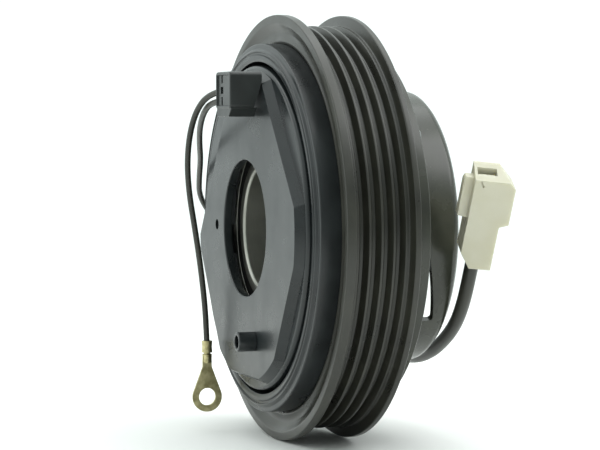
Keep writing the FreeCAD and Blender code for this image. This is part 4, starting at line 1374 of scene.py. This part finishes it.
@dataclass
class Armature:
    """Driven plate with the pressed stop cup riveted to it."""

    plate_bore: float = 22.0 * MM
    slot_circle: float = 38.4 * MM
    slot_width: float = 2.2 * MM
    slot_sweep: float = 96.0
    cup_radius: float = 40.5 * MM
    cup_wall: float = 2.2 * MM
    cup_rim: float = 33.0 * MM
    cup_corner: float = 2.6 * MM
    foot_radius: float = 48.0 * MM
    foot_thickness: float = 1.8 * MM
    foot_sweep: float = 36.0
    window_sweep: float = 33.0
    window_low: float = 4.7 * MM
    window_high: float = 9.6 * MM
    window_rounding: float = 1.2 * MM
    wall_rounding: float = 0.35 * MM
    # How far in front of a foot the waste between the feet is trimmed.
    waste_reach: float = 1.5 * MM
    # A window's cutter: how far inside the rim it starts, and its length.
    cutter_inset: float = 4.0 * MM
    cutter_length: float = 20.0 * MM
    rivet_inset: float = 3.5 * MM

    def build(self) -> None:
        """Builds the plate, the cup and both circles of rivets."""
        self.plate()
        self.cup()
        self.rivets()

    def plate(self) -> bpy.types.Object:
        """The flat driven plate with three arc slots."""
        whole = reach("armature_plate")
        edge = 0.4 * MM
        outline: list[Corner] = [
            (self.plate_bore, whole.rear, edge),
            (whole.radius, whole.rear, edge),
            (whole.radius, whole.front, edge),
            (self.plate_bore, whole.front, edge),
        ]
        section: list[Corner] = [
            (self.slot_circle, whole.rear - CLEARANCE, 0.0),
            (self.slot_circle + self.slot_width, whole.rear - CLEARANCE, 0.0),
            (self.slot_circle + self.slot_width, whole.front + CLEARANCE, 0.0),
            (self.slot_circle, whole.front + CLEARANCE, 0.0),
        ]
        slots = [turned(section, self.slot_sweep, turn, steps=48) for turn in THIRDS]
        bm = worked(turned(outline), slots)
        return piece(
            "slotted_armature", bm, CUP_PAINT, "armature", ["armature_plate"]
        )

    def cup(self) -> bpy.types.Object:
        """The pressed cup: rounded front rim, three feet and three slanting windows."""
        whole = reach("stop_cup")
        base = whole.rear
        bore = self.cup_radius - self.cup_wall
        inner_front = whole.front - self.foot_thickness
        outline: list[Corner] = [
            (bore, base, 0.2 * MM),
            (self.foot_radius, base, 0.2 * MM),
            (self.foot_radius, base + self.foot_thickness, 0.3 * MM),
            (self.cup_radius, base + self.foot_thickness, 0.9 * MM),
            (self.cup_radius, whole.front, self.cup_corner),
            (self.cup_rim, whole.front, 0.5 * MM),
            (self.cup_rim, inner_front, 0.5 * MM),
            (bore, inner_front, 0.9 * MM),
        ]
        between = FIRST_ARM - 60.0
        waste_front = base + self.foot_thickness + self.waste_reach
        waste: list[Corner] = [
            (self.cup_radius, base - CLEARANCE, 0.0),
            (self.foot_radius + CLEARANCE, base - CLEARANCE, 0.0),
            (self.foot_radius + CLEARANCE, waste_front, 0.0),
            (self.cup_radius, waste_front, 0.0),
        ]
        trims = [turned(waste, 120.0 - self.foot_sweep, between + turn, steps=48) for turn in THIRDS]
        windows = at_thirds(self._window, between)
        bm = worked(turned(outline), [*trims, windows])
        softened(bm, self.wall_rounding, self._on_wall, over=45.0)
        return piece(
            "pressed_stop_cup", bm, CUP_PAINT, "armature", ["stop_cup"], 38.0
        )

    def _on_wall(self, point: Vector) -> bool:
        """Whether a point is on the cup's outer wall, clear of its foot."""
        return abs(math.hypot(point.x, point.z) - self.cup_radius) < 0.3 * MM

    def _window(self) -> bmesh.types.BMesh:
        """A cutter for one window: its front edge slants across the wall."""
        base = reach("stop_cup").rear
        edge = self.cup_radius * math.sin(math.radians(self.window_sweep / 2))
        bm = bmesh.new()
        points = (
            (-edge, base - CLEARANCE),
            (edge, base - CLEARANCE),
            (edge, base + self.window_high),
            (-edge, base + self.window_low),
        )
        inner = self.cup_rim - self.cutter_inset
        face = bm.faces.new([bm.verts.new((inner, -depth, up)) for up, depth in points])
        drawn = bmesh.ops.extrude_face_region(bm, geom=[face])
        risen = [item for item in drawn["geom"] if isinstance(item, bmesh.types.BMVert)]
        bmesh.ops.translate(bm, verts=risen, vec=(self.cutter_length, 0.0, 0.0))
        middle = inner + self.cutter_length / 2
        return softened(
            tidied(bm), self.window_rounding, lambda point: abs(point.x - middle) < CLEARANCE, segments=4
        )

    def rivets(self) -> None:
        """Rivets through the cup's feet, and those that hold the springs' outer ends."""
        plate = reach("armature_plate")
        foot_front = plate.front + self.foot_thickness
        spring = reach("leaf_springs")
        cup_circle = self.foot_radius - self.rivet_inset
        cup_outline = domed(
            ((RIVET_RADIUS, plate.rear), (RIVET_RADIUS, foot_front), (RIVET_HEAD, foot_front)),
            foot_front + HEAD_HEIGHT,
        )
        spring_outline = domed(
            (
                (RIVET_RADIUS, plate.rear),
                (RIVET_RADIUS, plate.front),
                (RIVET_HEAD, plate.front),
                (RIVET_HEAD, spring.rear),
                (RIVET_RADIUS, spring.rear),
                (RIVET_RADIUS, spring.front),
                (RIVET_HEAD, spring.front),
            ),
            spring.front + HEAD_HEIGHT,
        )
        for name, outline, circle, angle in (
            ("cup_rivet_set", cup_outline, cup_circle, FIRST_ARM),
            ("spring_rivet_set", spring_outline, SPRING_CIRCLE, FIRST_ARM + SPRING_SWEEP),
        ):
            bm = at_thirds(lambda: standing(outline, circle), angle)
            node = name.removesuffix("_rivet_set") + "_rivets"
            piece(name, bm, ZINC, "armature", [node])


def domed(steps: Sequence[tuple[float, float]], top: float) -> list[Corner]:
    """A rivet's outline: stepped shank and a rounded head.

    Args:
        steps: Radius and depth of each corner from the rear.
        top: The head's depth.

    Returns:
        Corners that start and end on the rivet's axis.
    """
    head = steps[-1][0]
    rear = steps[0][1]
    height = top - steps[-1][1]
    body = [(radius, depth, 0.1 * MM) for radius, depth in steps[1:]]
    return [(0.0, rear, 0.0), (*steps[0], 0.0), *body, (head, top, height * 0.85), (0.0, top, 0.0)]


def standing(outline: Sequence[Corner], circle: float) -> bmesh.types.BMesh:
    """A small turned part moved out to a circle at angle 0."""
    return moved(turned(outline, steps=40), Matrix.Translation((circle, 0.0, 0.0)))


@dataclass
class Hub:
    """Splined boss with three arms, the leaf springs and the shims."""

    boss_radius: float = 12.5 * MM
    pilot_radius: float = 8.6 * MM
    pilot_depth: float = 4.0 * MM
    spline_radius: float = 8.2 * MM
    spline_minor: float = 7.4 * MM
    spline_depth: float = 5.2 * MM
    spline_count: int = 18
    spline_half_width: float = 0.6 * MM
    space_start: float = 0.3 * MM
    stop_radius: float = 5.4 * MM
    stop_length: float = 1.8 * MM
    recess_radius: float = 9.2 * MM
    flange_radius: float = 16.0 * MM
    flange_thickness: float = 3.0 * MM
    # An arm starts this far outside the bolt recess.
    arm_start: float = 6.0 * MM
    arm_circle: float = 26.0 * MM
    arm_radius: float = 5.0 * MM
    spring_width: float = 8.0 * MM

    def build(self) -> None:
        """Builds the hub, its springs and rivets, and dresses the shims."""
        self.boss()
        self.springs()
        self.rivets()
        dress("air_gap_shims", SPRING_STEEL)

    def boss(self) -> bpy.types.Object:
        """The boss with its flange, arms, bolt recess and splines."""
        whole = reach("splined_hub")
        flange_rear = reach("leaf_springs").front
        flange_front = flange_rear + self.flange_thickness
        spline_rear = whole.rear + self.pilot_depth
        spline_front = spline_rear + self.spline_depth
        edge = 0.35 * MM
        outline: list[Corner] = [
            (self.pilot_radius, whole.rear, edge),
            (self.boss_radius, whole.rear, edge),
            (self.boss_radius, flange_rear, 0.0),
            (self.flange_radius, flange_rear, edge),
            (self.flange_radius, flange_front, edge),
            (self.boss_radius, flange_front, edge),
            (self.boss_radius, whole.front, 0.6 * MM),
            (self.recess_radius, whole.front, 0.5 * MM),
            (self.recess_radius, spline_front + self.stop_length, 0.3 * MM),
            (self.stop_radius, spline_front + self.stop_length, 0.2 * MM),
            (self.stop_radius, spline_front, 0.0),
            (self.spline_minor, spline_front, 0.0),
            (self.spline_minor, spline_rear, 0.0),
            (self.pilot_radius, spline_rear, 0.0),
        ]
        through = SHAFT * self.flange_thickness
        arms = []
        for turn in THIRDS:
            angle = FIRST_ARM + turn
            arm = strip(
                self.arm_radius,
                self.arm_radius,
                polar(self.recess_radius + self.arm_start, angle, flange_rear),
                polar(self.arm_circle, angle, flange_rear),
                through,
            )
            arms.append(softened(arm, 0.4 * MM, over=40.0))
        bm = worked(turned(outline, steps=144), arms, "UNION")
        spaces = bmesh.new()
        for i in range(self.spline_count):
            low = Vector((self.stop_radius + self.space_start, -spline_front, -self.spline_half_width))
            high = Vector((self.spline_radius, -spline_rear + CLEARANCE, self.spline_half_width))
            joined_into(spaces, moved(block(low, high), turn_to(360.0 / self.spline_count * i)))
        bm = worked(bm, [spaces])
        return piece("splined_boss", bm, PAINTED_TURNED, "hub", ["splined_hub"])

    def springs(self) -> bpy.types.Object:
        """Three flat strips from the hub's arms to the armature."""
        whole = reach("leaf_springs")
        through = SHAFT * (whole.front - whole.rear)

        def one() -> bmesh.types.BMesh:
            """The strip whose inner end is at angle 0."""
            start = polar(self.arm_circle, 0.0, whole.rear)
            end = polar(SPRING_CIRCLE, SPRING_SWEEP, whole.rear)
            half = self.spring_width / 2
            return softened(strip(half, half, start, end, through), 0.15 * MM, over=40.0)

        return piece(
            "flat_leaf_springs", at_thirds(one, FIRST_ARM), SPRING_STEEL, "hub",
            ["leaf_springs"],
        )

    def rivets(self) -> bpy.types.Object:
        """Rivets that hold the springs' inner ends to the arms, with a head at each side."""
        spring = reach("leaf_springs")
        arm_front = spring.front + self.flange_thickness
        rear_head = spring.rear - HEAD_HEIGHT
        outline = domed(
            (
                (RIVET_HEAD, rear_head),
                (RIVET_HEAD, spring.rear),
                (RIVET_RADIUS, spring.rear),
                (RIVET_RADIUS, arm_front),
                (RIVET_HEAD, arm_front),
            ),
            arm_front + HEAD_HEIGHT,
        )
        bm = at_thirds(lambda: standing(outline, self.arm_circle), FIRST_ARM)
        return piece("hub_rivet_set", bm, ZINC, "hub", ["hub_rivets"])


@dataclass
class Studio:
    """Pale floor, soft surround, three soft lights and the camera."""

    target: Vector = Vector((0.0, -0.025, 0.0))
    azimuth: float = 250.1
    elevation: float = 2.64
    distance: float = 0.656
    lens: float = 132.4
    shift: tuple[float, float] = (-0.0405, 0.003)
    sensor: float = 36.0
    floor_radius: float = 2.5
    floor_gap: float = 0.2 * MM
    # Distances from the middle between which the floor fades out.
    floor_fade: tuple[float, float] = (0.25, 1.3)
    # The way towards the tent's bright side, then the place along it and the light of each end.
    tent_way: tuple[float, float, float] = (0.8, 0.1, 0.59)
    tent_dark: tuple[float, float] = (-0.75, 0.4)
    tent_bright: tuple[float, float] = (0.2, 1.18)

    def build(self) -> None:
        """Sets up everything round the object."""
        self.camera()
        self.surround()
        self.floor()
        self.light("overhead_softbox", (0.15, -0.05, 0.75), 0.7, 2.2)
        self.light("rear_softbox", (0.35, 0.75, 0.45), 0.5, 1.4)
        self.light("hub_side_softbox", (-0.25, -0.42, 0.5), 0.45, 1.8)
        bpy.context.scene.view_settings.view_transform = "Standard"

    def camera(self) -> None:
        """The camera, at the viewing angle, aimed at the target."""
        turn, rise = math.radians(self.azimuth), math.radians(self.elevation)
        back = Vector(
            (math.sin(turn) * math.cos(rise), -math.cos(turn) * math.cos(rise), math.sin(rise))
        )
        lens = bpy.data.cameras.new("camera")
        lens.lens = self.lens
        lens.sensor_width = self.sensor
        lens.shift_x, lens.shift_y = self.shift
        lens.clip_start = 0.01
        lens.clip_end = 20.0
        made = bpy.data.objects.new("camera", lens)
        made.location = self.target + back * self.distance
        made.rotation_euler = (-back).to_track_quat("-Z", "Y").to_euler()
        bpy.context.scene.collection.objects.link(made)
        bpy.context.scene.camera = made

    def surround(self) -> None:
        """A pale surround, darker on the -X side, like a light tent with its mouth there."""
        world = bpy.data.worlds.new("light_tent")
        world.use_nodes = True
        tree = world.node_tree
        tree.nodes.clear()
        way = add(tree, "TexCoord", {}).outputs["Generated"]
        side = add(
            tree, "VectorMath", {0: way, 1: self.tent_way}, operation="DOT_PRODUCT"
        ).outputs["Value"]
        dark, bright = self.tent_dark, self.tent_bright
        light = add(
            tree,
            "MapRange",
            {
                "Value": side,
                "From Min": dark[0],
                "From Max": bright[0],
                "To Min": dark[1],
                "To Max": bright[1],
            },
            interpolation_type="SMOOTHSTEP",
        ).outputs["Result"]
        shade = add(tree, "Background", {"Color": linear("#f5fffd"), "Strength": light})
        add(tree, "OutputWorld", {"Surface": shade.outputs[0]})
        bpy.context.scene.world = world

    def floor(self) -> None:
        """A pale round floor under the object, which fades out far from it."""
        low, _ = CAD_BOX
        bm = bmesh.new()
        bmesh.ops.create_circle(bm, cap_ends=True, segments=96, radius=self.floor_radius)
        bmesh.ops.translate(bm, verts=bm.verts, vec=(0.0, 0.0, low.z - self.floor_gap))
        mesh = bpy.data.meshes.new("pale_floor")
        bm.to_mesh(mesh)
        bm.free()
        made = bpy.data.objects.new("pale_floor", mesh)
        bpy.context.scene.collection.objects.link(made)
        paper = bpy.data.materials.new("pale_floor_paper")
        paper.use_nodes = True
        tree = paper.node_tree
        tree.nodes.clear()
        place = add(tree, "TexCoord", {}).outputs["Object"]
        away = add(tree, "VectorMath", {0: place}, operation="LENGTH").outputs["Value"]
        fade = add(
            tree,
            "MapRange",
            {"Value": away, "From Min": self.floor_fade[0], "From Max": self.floor_fade[1]},
            interpolation_type="SMOOTHSTEP",
        ).outputs["Result"]
        cover = add(tree, "BsdfDiffuse", {"Color": linear("#f4f4f2")}).outputs[0]
        clear = add(tree, "BsdfTransparent", {}).outputs[0]
        mixed = add(tree, "MixShader", {0: fade, 1: cover, 2: clear}).outputs[0]
        add(tree, "OutputMaterial", {"Surface": mixed})
        mesh.materials.append(paper)

    def light(self, name: str, place: tuple[float, float, float], size: float, power: float) -> None:
        """A square soft light aimed at the target.

        Args:
            name: The light's name.
            place: Where it hangs.
            size: Its side.
            power: Its power in watts.
        """
        lamp = bpy.data.lights.new(name, "AREA")
        lamp.size = size
        lamp.energy = power
        made = bpy.data.objects.new(name, lamp)
        made.location = place
        made.rotation_euler = (self.target - Vector(place)).to_track_quat("-Z", "Y").to_euler()
        bpy.context.scene.collection.objects.link(made)


def main() -> None:
    """Builds the studio and the sub-assemblies in order."""
    logging.basicConfig(level=logging.INFO, format="%(name)s: %(message)s")
    for part in (Studio(), Leads(), FieldCoil(), Bearing(), BeltPulley(), Armature(), Hub()):
        log.info("building %s", type(part).__name__)
        part.build()


if __name__ == "__main__":
    main()
